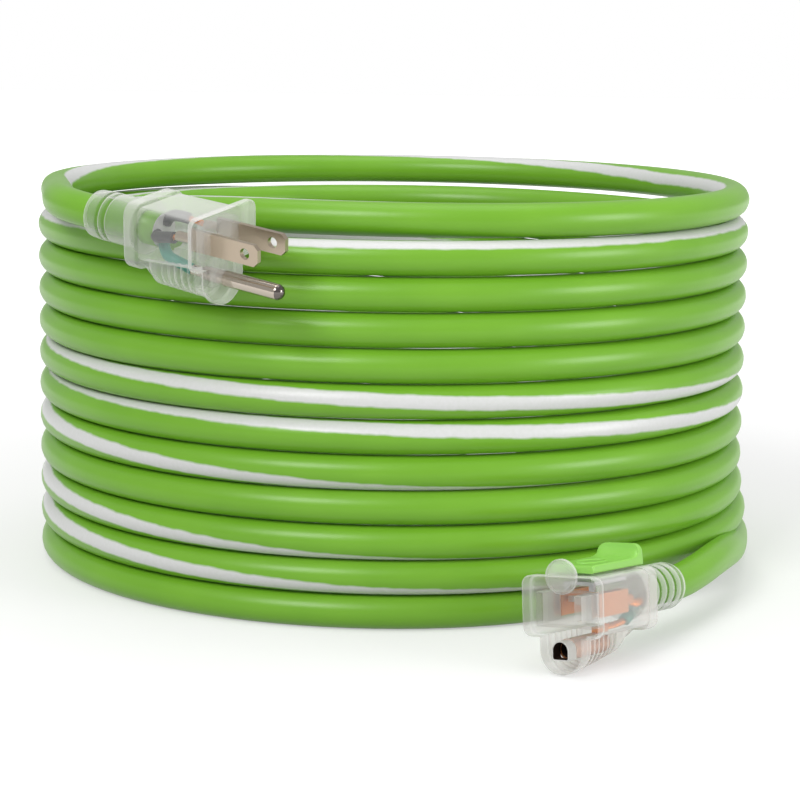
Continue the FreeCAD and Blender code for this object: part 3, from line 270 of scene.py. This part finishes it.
def basis(yaw, pitch, roll):
    """Turn about X, then Y, then Z, as the CAD model gives a moulding's lie."""
    return (Matrix.Rotation(math.radians(yaw), 4, "Z") @ Matrix.Rotation(math.radians(pitch), 4, "Y")
            @ Matrix.Rotation(math.radians(roll), 4, "X"))


PLUG_FRAME = Matrix.Translation(in_frame(-44.6, -125.0, 116.7)) @ basis(-32.4, 7.9, 10.4)
CONNECTOR_FRAME = Matrix.Translation(in_frame(50.9, -159.1, 18.98)) @ basis(-126.0, -4.4, 6.5)


def local(moulding, x, y, z):
    return moulding @ Vector((x / 1000, y / 1000, z / 1000))


PLUG_AXIS_Z = -2.2
CONNECTOR_AXIS_Z = 0.3
PLUG_JACKET_END = local(PLUG_FRAME, -23.2, 0, PLUG_AXIS_Z)
CONNECTOR_JACKET_END = local(CONNECTOR_FRAME, -40.0, 0, CONNECTOR_AXIS_Z)


# Distances along a relief's axis on both sides of its mouth, which keep the cord straight as it leaves.
CONNECTOR_STRAIGHT = (-52.0, -64.0)
PLUG_STRAIGHT = (-39.75, -51.25)


def cord_route():
    route = [CONNECTOR_JACKET_END] + [local(CONNECTOR_FRAME, x, 0, CONNECTOR_AXIS_Z) for x in CONNECTOR_STRAIGHT]
    route += [in_frame(*point) for point in reversed(CONNECTOR_LEAD)]
    route += coil_points(coil_stations())
    route += [in_frame(*point) for point in PLUG_LEAD]
    route += [local(PLUG_FRAME, x, 0, PLUG_AXIS_Z) for x in reversed(PLUG_STRAIGHT)]
    return route + [PLUG_JACKET_END]


def smooth_line(name, points, steps=4):
    """Points along the NURBS line that the given points shape."""
    data = bpy.data.curves.new(name, "CURVE")
    data.dimensions = "3D"
    data.resolution_u = steps
    spline = data.splines.new("NURBS")
    spline.points.add(len(points) - 1)
    for place, point in zip(spline.points, points):
        place.co = (*point, 1)
    spline.order_u = 3
    spline.use_endpoint_u = True
    holder = bpy.data.objects.new(name, data)
    line = bpy.data.meshes.new_from_object(holder)
    path = [vertex.co.copy() for vertex in line.vertices]
    bpy.data.objects.remove(holder)
    bpy.data.curves.remove(data)
    bpy.data.meshes.remove(line)
    return path


def tube_rings(mesh, path, radius, sides, layer=None, shift_at=None):
    """A closed tube along a path; its map has the share round it, from outside upwards, and metres along."""
    rings = []
    runs = [0.0]
    for here, there in zip(path, path[1:]):
        runs.append(runs[-1] + (there - here).length)
    for index, point in enumerate(path):
        along = (path[min(index + 1, len(path) - 1)] - path[max(index - 1, 0)]).normalized()
        across = along.cross(Vector((0, 0, 1))).normalized()
        up = across.cross(along)
        ring = []
        for side in range(sides):
            turn = 2 * math.pi * side / sides
            ring.append(mesh.verts.new(point + radius * (math.cos(turn) * across + math.sin(turn) * up)))
        rings.append(ring)
    for index in range(len(rings) - 1):
        for side in range(sides):
            after = (side + 1) % sides
            corners = (rings[index][side], rings[index][after], rings[index + 1][after], rings[index + 1][side])
            face = mesh.faces.new(corners)
            face.smooth = True
            if layer:
                spots = ((side, index), (side + 1, index), (side + 1, index + 1), (side, index + 1))
                for loop, (u, v) in zip(face.loops, spots):
                    loop[layer].uv = (shift_at[v] - u / sides, runs[v])
    mesh.faces.new(list(reversed(rings[0])))
    mesh.faces.new(rings[-1])


def piece(name, mesh, finish, body, nodes=(), place=None):
    """Makes an object of a mesh that rides with a body and stands for CAD nodes."""
    bmesh.ops.recalc_face_normals(mesh, faces=mesh.faces)
    data = bpy.data.meshes.new(name)
    mesh.to_mesh(data)
    mesh.free()
    if place is not None:
        data.transform(place)
    item = bpy.data.objects.new(name, data)
    bpy.context.collection.objects.link(item)
    for each in finish if isinstance(finish, (list, tuple)) else [finish]:
        data.materials.append(each)
    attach(item, body)
    if nodes:
        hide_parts(*nodes)
    return item


# Where the stripe's middle lies round the section, in degrees from outside upwards, over the coil's angle.
STRIPE_LIE = [(-90, 180), (360, 180), (540, 60), (630, -50), (720, -110), (900, -300), (990, -430), (1080, -530),
              (1260, -560), (1440, -570), (1620, -660), (1710, -780), (1800, -870), (1980, -985), (2070, -1040),
              (2160, -1120), (2340, -1355), (2520, -1500), (2700, -1620), (2880, -1670), (3060, -1640),
              (3240, -1620), (3420, -1600), (3600, -1590), (3780, -1740), (3960, -1740), (4200, -1700),
              (4350, -1640), (4400, -1700), (4440, -1730), (4475, -1700), (4500, -1660), (4530, -1625), (4600, -1615)]


def stripe_lie(angle):
    for (a0, lie0), (a1, lie1) in zip(STRIPE_LIE, STRIPE_LIE[1:]):
        if angle <= a1:
            return lie0 + (lie1 - lie0) * (angle - a0) / (a1 - a0)
    return STRIPE_LIE[-1][1]


def stripe_shifts(path):
    """The map shift of each point of the path, from its angle round the coil counted from the connector."""
    shifts = []
    angle = None
    for point in path:
        bearing = math.degrees(math.atan2(point.y - COIL_AXIS.y, point.x - COIL_AXIS.x))
        angle = bearing if angle is None else angle + (bearing - angle + 180) % 360 - 180
        shifts.append(stripe_lie(angle) / 360)
    return shifts


cord_path = smooth_line("cord_line", cord_route())


def make_cord():
    mesh = bmesh.new()
    layer = mesh.loops.layers.uv.new("around_along")
    tube_rings(mesh, cord_path, DRAWN_RADIUS, 32, layer, stripe_shifts(cord_path))
    return piece("cord", mesh, jacket, "cord_set", ("cord_coil", "plug_lead", "connector_lead"))


cord = make_cord()


# Mesh builders in a moulding's own frame, in millimetres.
def section(half, top, foot, corner, lobe, bottom):
    """A rounded box with a round lobe under its foot, as points of y and z."""
    points = []

    def arc(y, z, radius_y, radius_z, start, end, chords):
        for number in range(chords + 1):
            turn = math.radians(start + (end - start) * number / chords)
            points.append((y + radius_y * math.cos(turn), z + radius_z * math.sin(turn)))

    arc(-half + corner, -foot + corner, corner, corner, 180, 270, 5)
    points.append((-lobe, -foot))
    middle = min(-foot, bottom + lobe)
    arc(0, middle, lobe, middle - bottom, 180, 360, 20)
    points.append((lobe, -foot))
    arc(half - corner, -foot + corner, corner, corner, 270, 360, 5)
    arc(half - corner, top - corner, corner, corner, 0, 90, 5)
    arc(-half + corner, top - corner, corner, corner, 90, 180, 5)
    return points


def rounded_ends(front, rear, rounding, size):
    """Stations of one section between two distances, with both rims rounded; size is drawn in by an inset."""
    steps = [(0.0, 1.0), (0.13, 0.5), (0.5, 0.13), (1.0, 0.0)]
    first = [(front - rounding * along, size(rounding * inset)) for along, inset in steps]
    last = [(rear + rounding * along, size(rounding * inset)) for along, inset in reversed(steps)]
    return first + last


def inset_section(half, top, foot, corner, lobe, bottom):
    def drawn_in(inset):
        return section(half - inset, top - inset, foot - inset, corner, lobe - inset, bottom + inset)

    return drawn_in


def skin(mesh, stations):
    """A closed shell through sections of the same number of points."""
    rings = [[mesh.verts.new((x / 1000, y / 1000, z / 1000)) for y, z in points] for x, points in stations]
    for near, far in zip(rings, rings[1:]):
        for index in range(len(near)):
            after = (index + 1) % len(near)
            mesh.faces.new((near[index], near[after], far[after], far[index])).smooth = True
    mesh.faces.new(list(reversed(rings[0])))
    mesh.faces.new(rings[-1])


def lathe(mesh, profile, axis_y, axis_z, sides=48, slot_at=None):
    """A form turned about a line along x from points of distance and radius; a radius of 0 closes it."""
    rings = []
    for x, radius in profile:
        if radius == 0:
            rings.append([mesh.verts.new((x / 1000, axis_y / 1000, axis_z / 1000))])
            continue
        turns = [2 * math.pi * side / sides for side in range(sides)]
        rings.append([mesh.verts.new((x / 1000, (axis_y + radius * math.cos(turn)) / 1000,
                                      (axis_z + radius * math.sin(turn)) / 1000)) for turn in turns])
    for number, (near, far) in enumerate(zip(rings, rings[1:])):
        for side in range(sides):
            after = (side + 1) % sides
            corners = []
            for vert in (near[side % len(near)], near[after % len(near)], far[after % len(far)], far[side % len(far)]):
                if vert not in corners:
                    corners.append(vert)
            if len(corners) > 2:
                face = mesh.faces.new(corners)
                face.smooth = True
                if slot_at:
                    face.material_index = slot_at(number)


def slab(mesh, low, high):
    """A box between two corners."""
    corners = [mesh.verts.new((x / 1000, y / 1000, z / 1000)) for x in (low[0], high[0]) for y in (low[1], high[1])
               for z in (low[2], high[2])]
    for face in ((0, 1, 3, 2), (4, 6, 7, 5), (0, 4, 5, 1), (2, 3, 7, 6), (0, 2, 6, 4), (1, 5, 7, 3)):
        mesh.faces.new([corners[index] for index in face])


def bundle(mesh, route, spread, wire, count=6, twist=1.5):
    """A twisted bundle of bare wires along a route."""
    line = smooth_line("strand_line", [Vector(point) / 1000 for point in route], 6)
    for number in range(count + 1):
        path = []
        for index, point in enumerate(line):
            along = (line[min(index + 1, len(line) - 1)] - line[max(index - 1, 0)]).normalized()
            across = along.cross(Vector((0, 0, 1))).normalized()
            turn = 2 * math.pi * (number / count + twist * index / len(line))
            offset = 0 if number == count else spread / 1000
            path.append(point + offset * (math.cos(turn) * across + math.sin(turn) * across.cross(along)))
        tube_rings(mesh, path, wire / 2000, 8)


def relief_profile(front, rear, radius, flare, rings):
    """The strain relief from its flange to its rounded mouth, with a soft groove at each ring."""
    profile = [(front + 0.6, 0), (front + 0.6, radius + flare), (front, radius + flare),
               (front - 0.5, radius + flare * 0.45), (front - 1.2, radius)]
    groove = [(0.75, 0.0), (0.5, 0.12), (0.38, 0.62), (0.2, 0.8)]
    groove += [(-offset, depth) for offset, depth in reversed(groove)]
    for ring in rings:
        profile += [(ring + offset, radius - depth) for offset, depth in groove]
    end = radius - 0.25
    profile += [(rear + 1.0, end), (rear + 0.5, end - 0.13), (rear + 0.13, end - 0.5), (rear, end - 1.0), (rear, 5.02)]
    return profile


def grooved(x, front, count, pitch, width, depth):
    """How deep the finger grooves cut at a distance."""
    for number in range(count):
        middle = front - number * pitch - width / 2
        if abs(x - middle) < width * 0.8:
            return depth * (0.5 + 0.5 * math.cos(math.pi * (x - middle) / (width * 0.8)))
    return 0.0


def blended(knots, x):
    """A value between knots of distance and value, the distances falling."""
    for (x0, value0), (x1, value1) in zip(knots, knots[1:]):
        if x >= x1:
            return value0 + (value1 - value0) * (x0 - x) / (x0 - x1)
    return knots[-1][1]


def waist_stations(front, rear, half, top, foot, corner, lobe, bottom, grooves, step=0.36):
    """Sections along the waist, its measures given as knots and its belly grooved for the fingers."""
    stations = []
    count = int((front - rear) / step)
    for number in range(count + 1):
        x = front + (rear - front) * number / count
        cut = grooved(x, *grooves)
        swell = 0.7 * max(0.0, 1 - (front - x) / 0.9) ** 2
        stations.append((x, section(blended(half, x) + swell, blended(top, x) + swell * 0.6, blended(foot, x), corner,
                                    blended(lobe, x) - cut, blended(bottom, x) + cut)))
    return stations


def plug_moulding():
    mesh = bmesh.new()
    stations = rounded_ends(0.0, -3.0, 0.7, inset_section(14.0, 8.7, 7.5, 2.6, 8.0, -19.9))
    lobe = [(-3.0, 7.0), (-22.6, 6.5), (-27.6, 4.2), (-29.2, 3.6)]
    bottom = [(-3.0, -18.9), (-22.6, -18.4), (-27.6, -13.4), (-29.2, -12.45)]
    stations += waist_stations(-3.0, -24.2, [(-3.0, 11.3), (-24.2, 10.4)], [(-3.0, 6.7), (-24.2, 6.7)],
                               [(-3.0, 7.5), (-24.2, 9.5)], 2.4, lobe, bottom, (-6.5, 6, 2.5, 1.1, 0.8))
    for x, inset in ((-24.2, 0.7), (-24.29, 0.35), (-24.55, 0.09), (-24.9, 0.0), (-26.0, 0.0), (-27.2, 0.0),
                     (-28.5, 0.0), (-28.85, 0.09), (-29.11, 0.35), (-29.2, 0.7)):
        stations.append((x, section(11.2 - inset, 7.6 - inset, 12.4 - inset, 4.0, blended(lobe, x),
                                    min(blended(bottom, x), -12.41 + inset))))
    skin(mesh, stations)
    lathe(mesh, relief_profile(-29.2, -48.5, 7.4, 1.0, (-40.3, -42.9)), 0, PLUG_AXIS_Z)
    return mesh


def drilled(mesh, place_cutters):
    """Cuts the shells that a function adds out of a mesh."""
    cutters = bmesh.new()
    place_cutters(cutters)
    items = []
    for name, source in (("drilled", mesh), ("cutters", cutters)):
        bmesh.ops.recalc_face_normals(source, faces=source.faces)
        data = bpy.data.meshes.new(name)
        source.to_mesh(data)
        source.free()
        item = bpy.data.objects.new(name, data)
        bpy.context.collection.objects.link(item)
        items.append(item)
    cut = items[0].modifiers.new("cut", "BOOLEAN")
    cut.operation = "DIFFERENCE"
    cut.solver = "EXACT"
    cut.use_self = True
    cut.object = items[1]
    whole = items[0].evaluated_get(bpy.context.evaluated_depsgraph_get())
    result = bmesh.new()
    result.from_mesh(whole.to_mesh())
    whole.to_mesh_clear()
    for item in items:
        data = item.data
        bpy.data.objects.remove(item)
        bpy.data.meshes.remove(data)
    return result


BLADE_Y = 6.35
PIN_Z = -11.9


def mouth_outline(reach):
    """The ground hole's outline, round at its top and flat at its foot."""
    turns = [math.radians(turn) for turn in range(0, 181, 10)]
    outline = [(reach * math.cos(turn), PIN_Z + reach * math.sin(turn)) for turn in turns]
    foot = PIN_Z - reach
    return outline + [(-reach, foot + 0.3), (0.4 - reach, foot), (reach - 0.4, foot), (reach, foot + 0.3)]


def face_cutters(mesh):
    """The two slots, the round-topped ground hole and the slot of the lock's stem."""
    slab(mesh, (-9.4, BLADE_Y - 1.15, -3.5), (1.0, BLADE_Y + 1.15, 3.5))
    slab(mesh, (-9.4, -BLADE_Y - 1.15, -4.15), (1.0, -BLADE_Y + 1.15, 4.15))
    skin(mesh, [(1.0, mouth_outline(2.6)), (-4.25, mouth_outline(2.6))])
    lathe(mesh, [(-4.15, 0), (-4.15, 3.06), (-21.3, 3.06), (-21.3, 0)], 0, PIN_Z, 40)
    slab(mesh, (-29.8, -2.8, 6.3), (-12.6, 2.8, 10.0))


def connector_moulding():
    mesh = bmesh.new()
    stations = rounded_ends(0.0, -4.2, 0.6, inset_section(12.4, 8.8, 8.4, 2.6, 6.8, -18.7))
    lobe = [(-4.2, 6.6), (-24.0, 5.6), (-31.4, 4.6), (-34.4, 3.8)]
    bottom = [(-4.2, -18.5), (-15.0, -17.0), (-24.0, -15.5), (-31.4, -10.6), (-34.4, -9.25)]
    stations += waist_stations(-4.2, -29.0, [(-4.2, 11.4), (-29.0, 11.4)], [(-4.2, 8.4), (-29.0, 8.4)],
                               [(-4.2, 8.0), (-29.0, 8.0)], 2.4, lobe, bottom, (-6.2, 6, 2.5, 1.1, 0.8))
    for x, inset in ((-29.0, 0.5), (-29.1, 0.25), (-29.3, 0.07), (-29.6, 0.0), (-31.0, 0.0), (-32.4, 0.0),
                     (-33.8, 0.0), (-34.1, 0.07), (-34.3, 0.25), (-34.4, 0.5)):
        stations.append((x, section(11.2 - inset, 8.8 - inset, 9.2 - inset, 3.0, blended(lobe, x),
                                    min(blended(bottom, x), -9.21 + inset))))
    skin(mesh, stations)
    mesh = drilled(mesh, face_cutters)
    lathe(mesh, relief_profile(-34.4, -58.0, 7.0, 0.8, (-43.0, -47.2, -51.4, -55.2)), 0, CONNECTOR_AXIS_Z)
    rim = [(-1.0, 0), (-1.0, 3.9), (-0.85, 4.1), (-0.85, 4.5), (-1.05, 4.85), (-1.4, 5.0), (-2.4, 5.0), (-2.7, 4.85),
           (-2.8, 4.5), (-2.8, 0)]
    lathe(mesh, rim, 0, 8.6, 40)
    return mesh


def smoothed(item, sharp=34):
    """Keeps sharp edges sharp and lets broad faces rule the shading beside their rounded rims."""
    mesh = bmesh.new()
    mesh.from_mesh(item.data)
    for face in mesh.faces:
        face.smooth = True
    for edge in mesh.edges:
        edge.smooth = len(edge.link_faces) != 2 or edge.calc_face_angle(0) < math.radians(sharp)
    mesh.to_mesh(item.data)
    mesh.free()
    weighted = item.modifiers.new("weighted", "WEIGHTED_NORMAL")
    weighted.keep_sharp = True


plug_pieces = [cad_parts[name] for name in ("plug_bridge", "plug_line_blade", "plug_neutral_blade")]
plug_pieces.append(piece("plug_skin", plug_moulding(), milky, "cord_set", ("plug_overmould",),
                         PLUG_FRAME))
smoothed(plug_pieces[-1])
smoothed(piece("connector_skin", connector_moulding(), milky, "cord_set", ("connector_overmould",),
               CONNECTOR_FRAME))


def ground_pin():
    """The pin with its domed tip, which carries a painted dark reflection, its shank and its crimp barrel."""
    mesh = bmesh.new()
    radius = 2.375
    profile = [(-12.5, 0), (-12.5, 1.55), (-8.0, 1.55), (-7.7, 2.1), (0.1, 2.1), (0.1, radius), (20.6 - radius, radius)]
    for turn in range(15, 90, 15):
        profile.append((20.6 - radius + radius * math.sin(math.radians(turn)), radius * math.cos(math.radians(turn))))
    # The domed tip takes the painted dark reflection.
    lathe(mesh, profile + [(20.6, 0)], 0, PIN_Z, 48, lambda number: 1 if number > 6 else 0)
    return mesh


plug_pieces.append(piece("pin", ground_pin(), [bright, tip_painted_reflection], "cord_set", ("plug_ground_pin",),
                         PLUG_FRAME))
smoothed(plug_pieces[-1])


def ground_barrel():
    """The ground contact's barrel, with painted shade inside, its tail, and the frosted wall of the hole before it,
    painted shade on the wall's inner face.
    """
    mesh = bmesh.new()
    profile = [(-20.6, 0), (-20.6, 2.42), (-4.3, 2.42), (-4.2, 2.5), (-4.2, 2.95), (-4.3, 3.02), (-21.2, 3.02),
               (-21.2, 0)]
    # The bore's back and its wall take the painted shade; the rest is copper.
    lathe(mesh, profile, 0, PIN_Z, 40, lambda number: 1 if number < 2 else 0)
    loops = [[mesh.verts.new((x / 1000, y / 1000, z / 1000)) for y, z in mouth_outline(reach)]
             for x, reach in ((-0.25, 2.45), (-4.15, 2.45), (-4.15, 2.75), (-0.25, 2.75))]
    for number, near in enumerate(loops):
        far = loops[(number + 1) % 4]
        for index in range(len(near)):
            after = (index + 1) % len(near)
            face = mesh.faces.new((near[index], near[after], far[after], far[index]))
            # The hole's inner face takes the painted shade; its other faces are the frosted wall.
            face.material_index = 1 if number == 0 else 2
    slab(mesh, (-23.8, -0.9, -9.25), (-17.8, 0.9, -7.45))
    return mesh


smoothed(piece("barrel", ground_barrel(), [copper, bore_painted_shade, mouth_wall], "cord_set",
               ("connector_ground_contact",), CONNECTOR_FRAME))


# The cores inside the mouldings, round and gently bent, and the bare wires at their ends.
CORES = {
    "plug_neutral_conductor": (PLUG_FRAME, black, "core_black",
                               [(-23.6, -2.6, -2.7), (-22.8, -4.0, -2.9), (-21.0, -5.0, -2.6), (-18.0, -5.2, -1.9),
                                (-14.6, -5.4, -1.3)]),
    "plug_line_conductor": (PLUG_FRAME, black, "core_black",
                            [(-23.6, 1.4, -0.6), (-22.8, 1.7, 1.2), (-21.0, 2.1, 2.3), (-18.5, 2.4, 2.4),
                             (-16.0, 3.0, 2.1)]),
    "plug_ground_conductor": (PLUG_FRAME, green, "core_green",
                              [(-23.3, 0, -4.6), (-22.0, -1.6, -6.0), (-19.0, -3.4, -8.4), (-15.5, -3.4, -9.2),
                               (-14.2, -1.4, -10.6), (-13.4, -0.2, -11.7), (-12.6, 0, -11.9)]),
    "connector_line_conductor": (CONNECTOR_FRAME, black, "core_black",
                                 [(-40.2, 3.1, -0.9), (-38.4, 3.4, -1.3), (-36.4, 3.9, -1.6)]),
    "connector_neutral_conductor": (CONNECTOR_FRAME, white, "core_white",
                                    [(-40.2, -3.1, 0.4), (-38.4, -3.4, 0.4), (-36.4, -3.9, 0.2)]),
    "connector_ground_conductor": (CONNECTOR_FRAME, green, "core_green",
                                   [(-40.2, 0.6, -2.4), (-38.0, 1.2, -3.2), (-35.0, 1.4, -5.4), (-32.2, 0.8, -7.2)]),
}
for name, (place, finish, slot, route) in CORES.items():
    mesh = bmesh.new()
    tube_rings(mesh, smooth_line(name, [Vector(point) / 1000 for point in route], 8), 0.0017, 24)
    core = piece(name + "_core", mesh, finish, "cord_set", (name,), place)
    if name.startswith("plug_"):
        plug_pieces.append(core)


def plug_wires():
    mesh = bmesh.new()
    bundle(mesh, [(-14.8, -5.4, -1.3), (-13.4, -5.9, -0.7), (-12.2, -BLADE_Y, 0)], 0.6, 0.62, twist=0.2)
    bundle(mesh, [(-16.2, 3.0, 2.1), (-14.2, 4.6, 1.2), (-12.2, BLADE_Y, 0)], 0.6, 0.62, twist=0.2)
    bundle(mesh, [(-13.0, 0, PIN_Z), (-12.6, 0, PIN_Z), (-12.2, 0, PIN_Z)], 0.6, 0.62, twist=0.2)
    return mesh


def connector_wires():
    mesh = bmesh.new()
    for sign, low in ((1, 1.7), (-1, 0)):
        bundle(mesh, [(-36.6, sign * 3.9, -low), (-34.4, sign * 4.6, -low), (-31.4, sign * 5.9, -low),
                      (-29.2, sign * BLADE_Y, -0.8 * low), (-26.7, sign * BLADE_Y, -0.3 * low)], 0.8, 0.74)
    bundle(mesh, [(-32.4, 0.8, -7.1), (-31.0, 0.4, -7.6), (-28.0, 0, -7.9), (-23.7, 0, -7.9)], 0.72, 0.66)
    return mesh


plug_pieces.append(piece("plug_wires", plug_wires(), strand_copper, "cord_set", ("plug_strands",),
                         PLUG_FRAME))
piece("connector_wires", connector_wires(), strand_copper, "cord_set", ("connector_strands",),
      CONNECTOR_FRAME)


# The lock's slide: a hollowed thumb wall on a plate, with a raised oval, and the stem under it.
def slide_profile(inset, drop, sweep):
    """The slide's side view from its front foot round, its thumb wall lowered and swept forward."""
    rear, front, foot, top, wall = -34.0 + inset, -7.4 - inset, 9.1 + inset, 11.4 - inset, 15.2 - inset - drop
    points = [(front, foot), (front, top - 1.0), (front - 0.3, top - 0.35), (front - 1.0, top)]
    for number in range(9):
        turn = math.radians(90 * number / 8)
        points.append((rear + 6.2 + sweep - (4.4 + sweep * 0.5) * math.sin(turn),
                       top + (wall - 0.4 - top) * (1 - math.cos(turn))))
    points += [(rear + 1.7 + sweep * 0.5, wall - 0.12), (rear + 1.4, wall), (rear + 0.7, wall),
               (rear + 0.4, wall - 0.3), (rear, foot)]
    return points


def slide_form():
    mesh = bmesh.new()
    half = 7.0
    corner = 2.6
    across = [(half, 0.5), (half - 0.07, 0.25), (half - 0.25, 0.07), (half - 0.5, 0.0), (6.1, 0), (5.7, 0), (5.2, 0),
              (4.4, 0), (3.4, 0), (2.2, 0), (0.8, 0)]
    stations = across + [(-y, inset) for y, inset in reversed(across)]
    rings = []
    for y, inset in stations:
        into = max(abs(y) - (half - corner), 0)
        drop = corner - math.sqrt(corner ** 2 - into ** 2)
        sweep = 1.5 * (abs(y) / half) ** 2
        rings.append([mesh.verts.new((x / 1000, y / 1000, z / 1000)) for x, z in slide_profile(inset, drop, sweep)])
    for near, far in zip(rings, rings[1:]):
        for index in range(len(near)):
            after = (index + 1) % len(near)
            mesh.faces.new((near[index], near[after], far[after], far[index])).smooth = True
    mesh.faces.new(list(reversed(rings[0])))
    mesh.faces.new(rings[-1])
    turns = [2 * math.pi * number / 48 for number in range(49)]
    oval = [Vector((-17.0 + 5.6 * math.cos(turn), 3.6 * math.sin(turn), 11.4)) / 1000 for turn in turns]
    tube_rings(mesh, oval, 0.00022, 8)
    slab(mesh, (-24.9, -2.5, 6.3), (-12.9, 2.5, 9.3))
    return mesh


smoothed(piece("slide", slide_form(), slide_green, "lock", ("lock_slide",), CONNECTOR_FRAME))

FINISHES = {
    "plug_bridge": clear, "plug_line_blade": nickel, "plug_neutral_blade": nickel, "connector_face_insert": clear,
    "connector_line_contact": copper, "connector_neutral_contact": copper, "connector_lamp": lamp_clear,
    "connector_lamp_resistor": lead_tin, "lock_plate": steel,
}
for name, finish in FINISHES.items():
    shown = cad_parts[name]
    shown.data.materials.clear()
    shown.data.materials.append(finish)


# Studio
def floor_material():
    """Pale floor that the camera sees white, also far out where the lamps don't reach."""
    made = material("floor_white", (0.55, 0.55, 0.55), 0.7, Specular_IOR_Level=0.1, Emission_Color=(1, 1, 1, 1))
    spot = node(made, "ShaderNodeNewGeometry").outputs["Position"]
    away = node(made, "ShaderNodeVectorMath", {0: spot}, operation="LENGTH").outputs["Value"]
    glow = node(made, "ShaderNodeMapRange", {"Value": away, "From Min": 0.2, "From Max": 1.4, "To Min": 0.42,
                                             "To Max": 0.95})
    rays = node(made, "ShaderNodeLightPath")
    mirrored = node(made, "ShaderNodeMath", {0: rays.outputs["Is Camera Ray"], 1: rays.outputs["Is Glossy Ray"]},
                    operation="MAXIMUM")
    shown = node(made, "ShaderNodeMath", {0: glow.outputs[0], 1: mirrored.outputs[0]}, operation="MULTIPLY")
    feed(made, "Emission Strength", shown.outputs[0])
    return made


def make_floor():
    mesh = bmesh.new()
    corners = [mesh.verts.new((x, y, 0)) for x, y in ((-4, -4), (4, -4), (4, 4), (-4, 4))]
    mesh.faces.new(corners)
    data = bpy.data.meshes.new("floor")
    mesh.to_mesh(data)
    mesh.free()
    floor = bpy.data.objects.new("floor", data)
    bpy.context.collection.objects.link(floor)
    data.materials.append(floor_material())


def area_light(name, place, aim, size, power):
    data = bpy.data.lights.new(name, "AREA")
    data.size = size
    data.energy = power
    item = bpy.data.objects.new(name, data)
    item.location = place
    item.rotation_euler = (Vector(aim) - Vector(place)).to_track_quat("-Z", "Y").to_euler()
    bpy.context.collection.objects.link(item)


WORLD_STRENGTH = 0.56


def make_world():
    """Soft white light all round, and a plain white where the camera sees past the floor."""
    world = bpy.data.worlds.new("studio")
    bpy.context.scene.world = world
    world.use_nodes = True
    tree = world.node_tree
    lit = tree.nodes["Background"]
    lit.inputs["Color"].default_value = (1, 1, 1, 1)
    lit.inputs["Strength"].default_value = WORLD_STRENGTH
    seen = tree.nodes.new("ShaderNodeBackground")
    seen.inputs["Color"].default_value = (1, 1, 1, 1)
    rays = tree.nodes.new("ShaderNodeLightPath")
    mix = tree.nodes.new("ShaderNodeMixShader")
    tree.links.new(rays.outputs["Is Camera Ray"], mix.inputs["Fac"])
    tree.links.new(lit.outputs["Background"], mix.inputs[1])
    tree.links.new(seen.outputs["Background"], mix.inputs[2])
    tree.links.new(mix.outputs["Shader"], tree.nodes["World Output"].inputs["Surface"])


make_floor()
area_light("key", (-0.7, -1.3, 1.2), (0, 0, 0.05), 0.7, 17)
area_light("fill", (1.3, -0.58, 0.35), (0, 0, 0.07), 0.6, 9)
area_light("top", (0.0, 0.1, 1.7), (0, 0, 0), 1.2, 7)
make_world()
bpy.context.scene.view_settings.view_transform = "Standard"
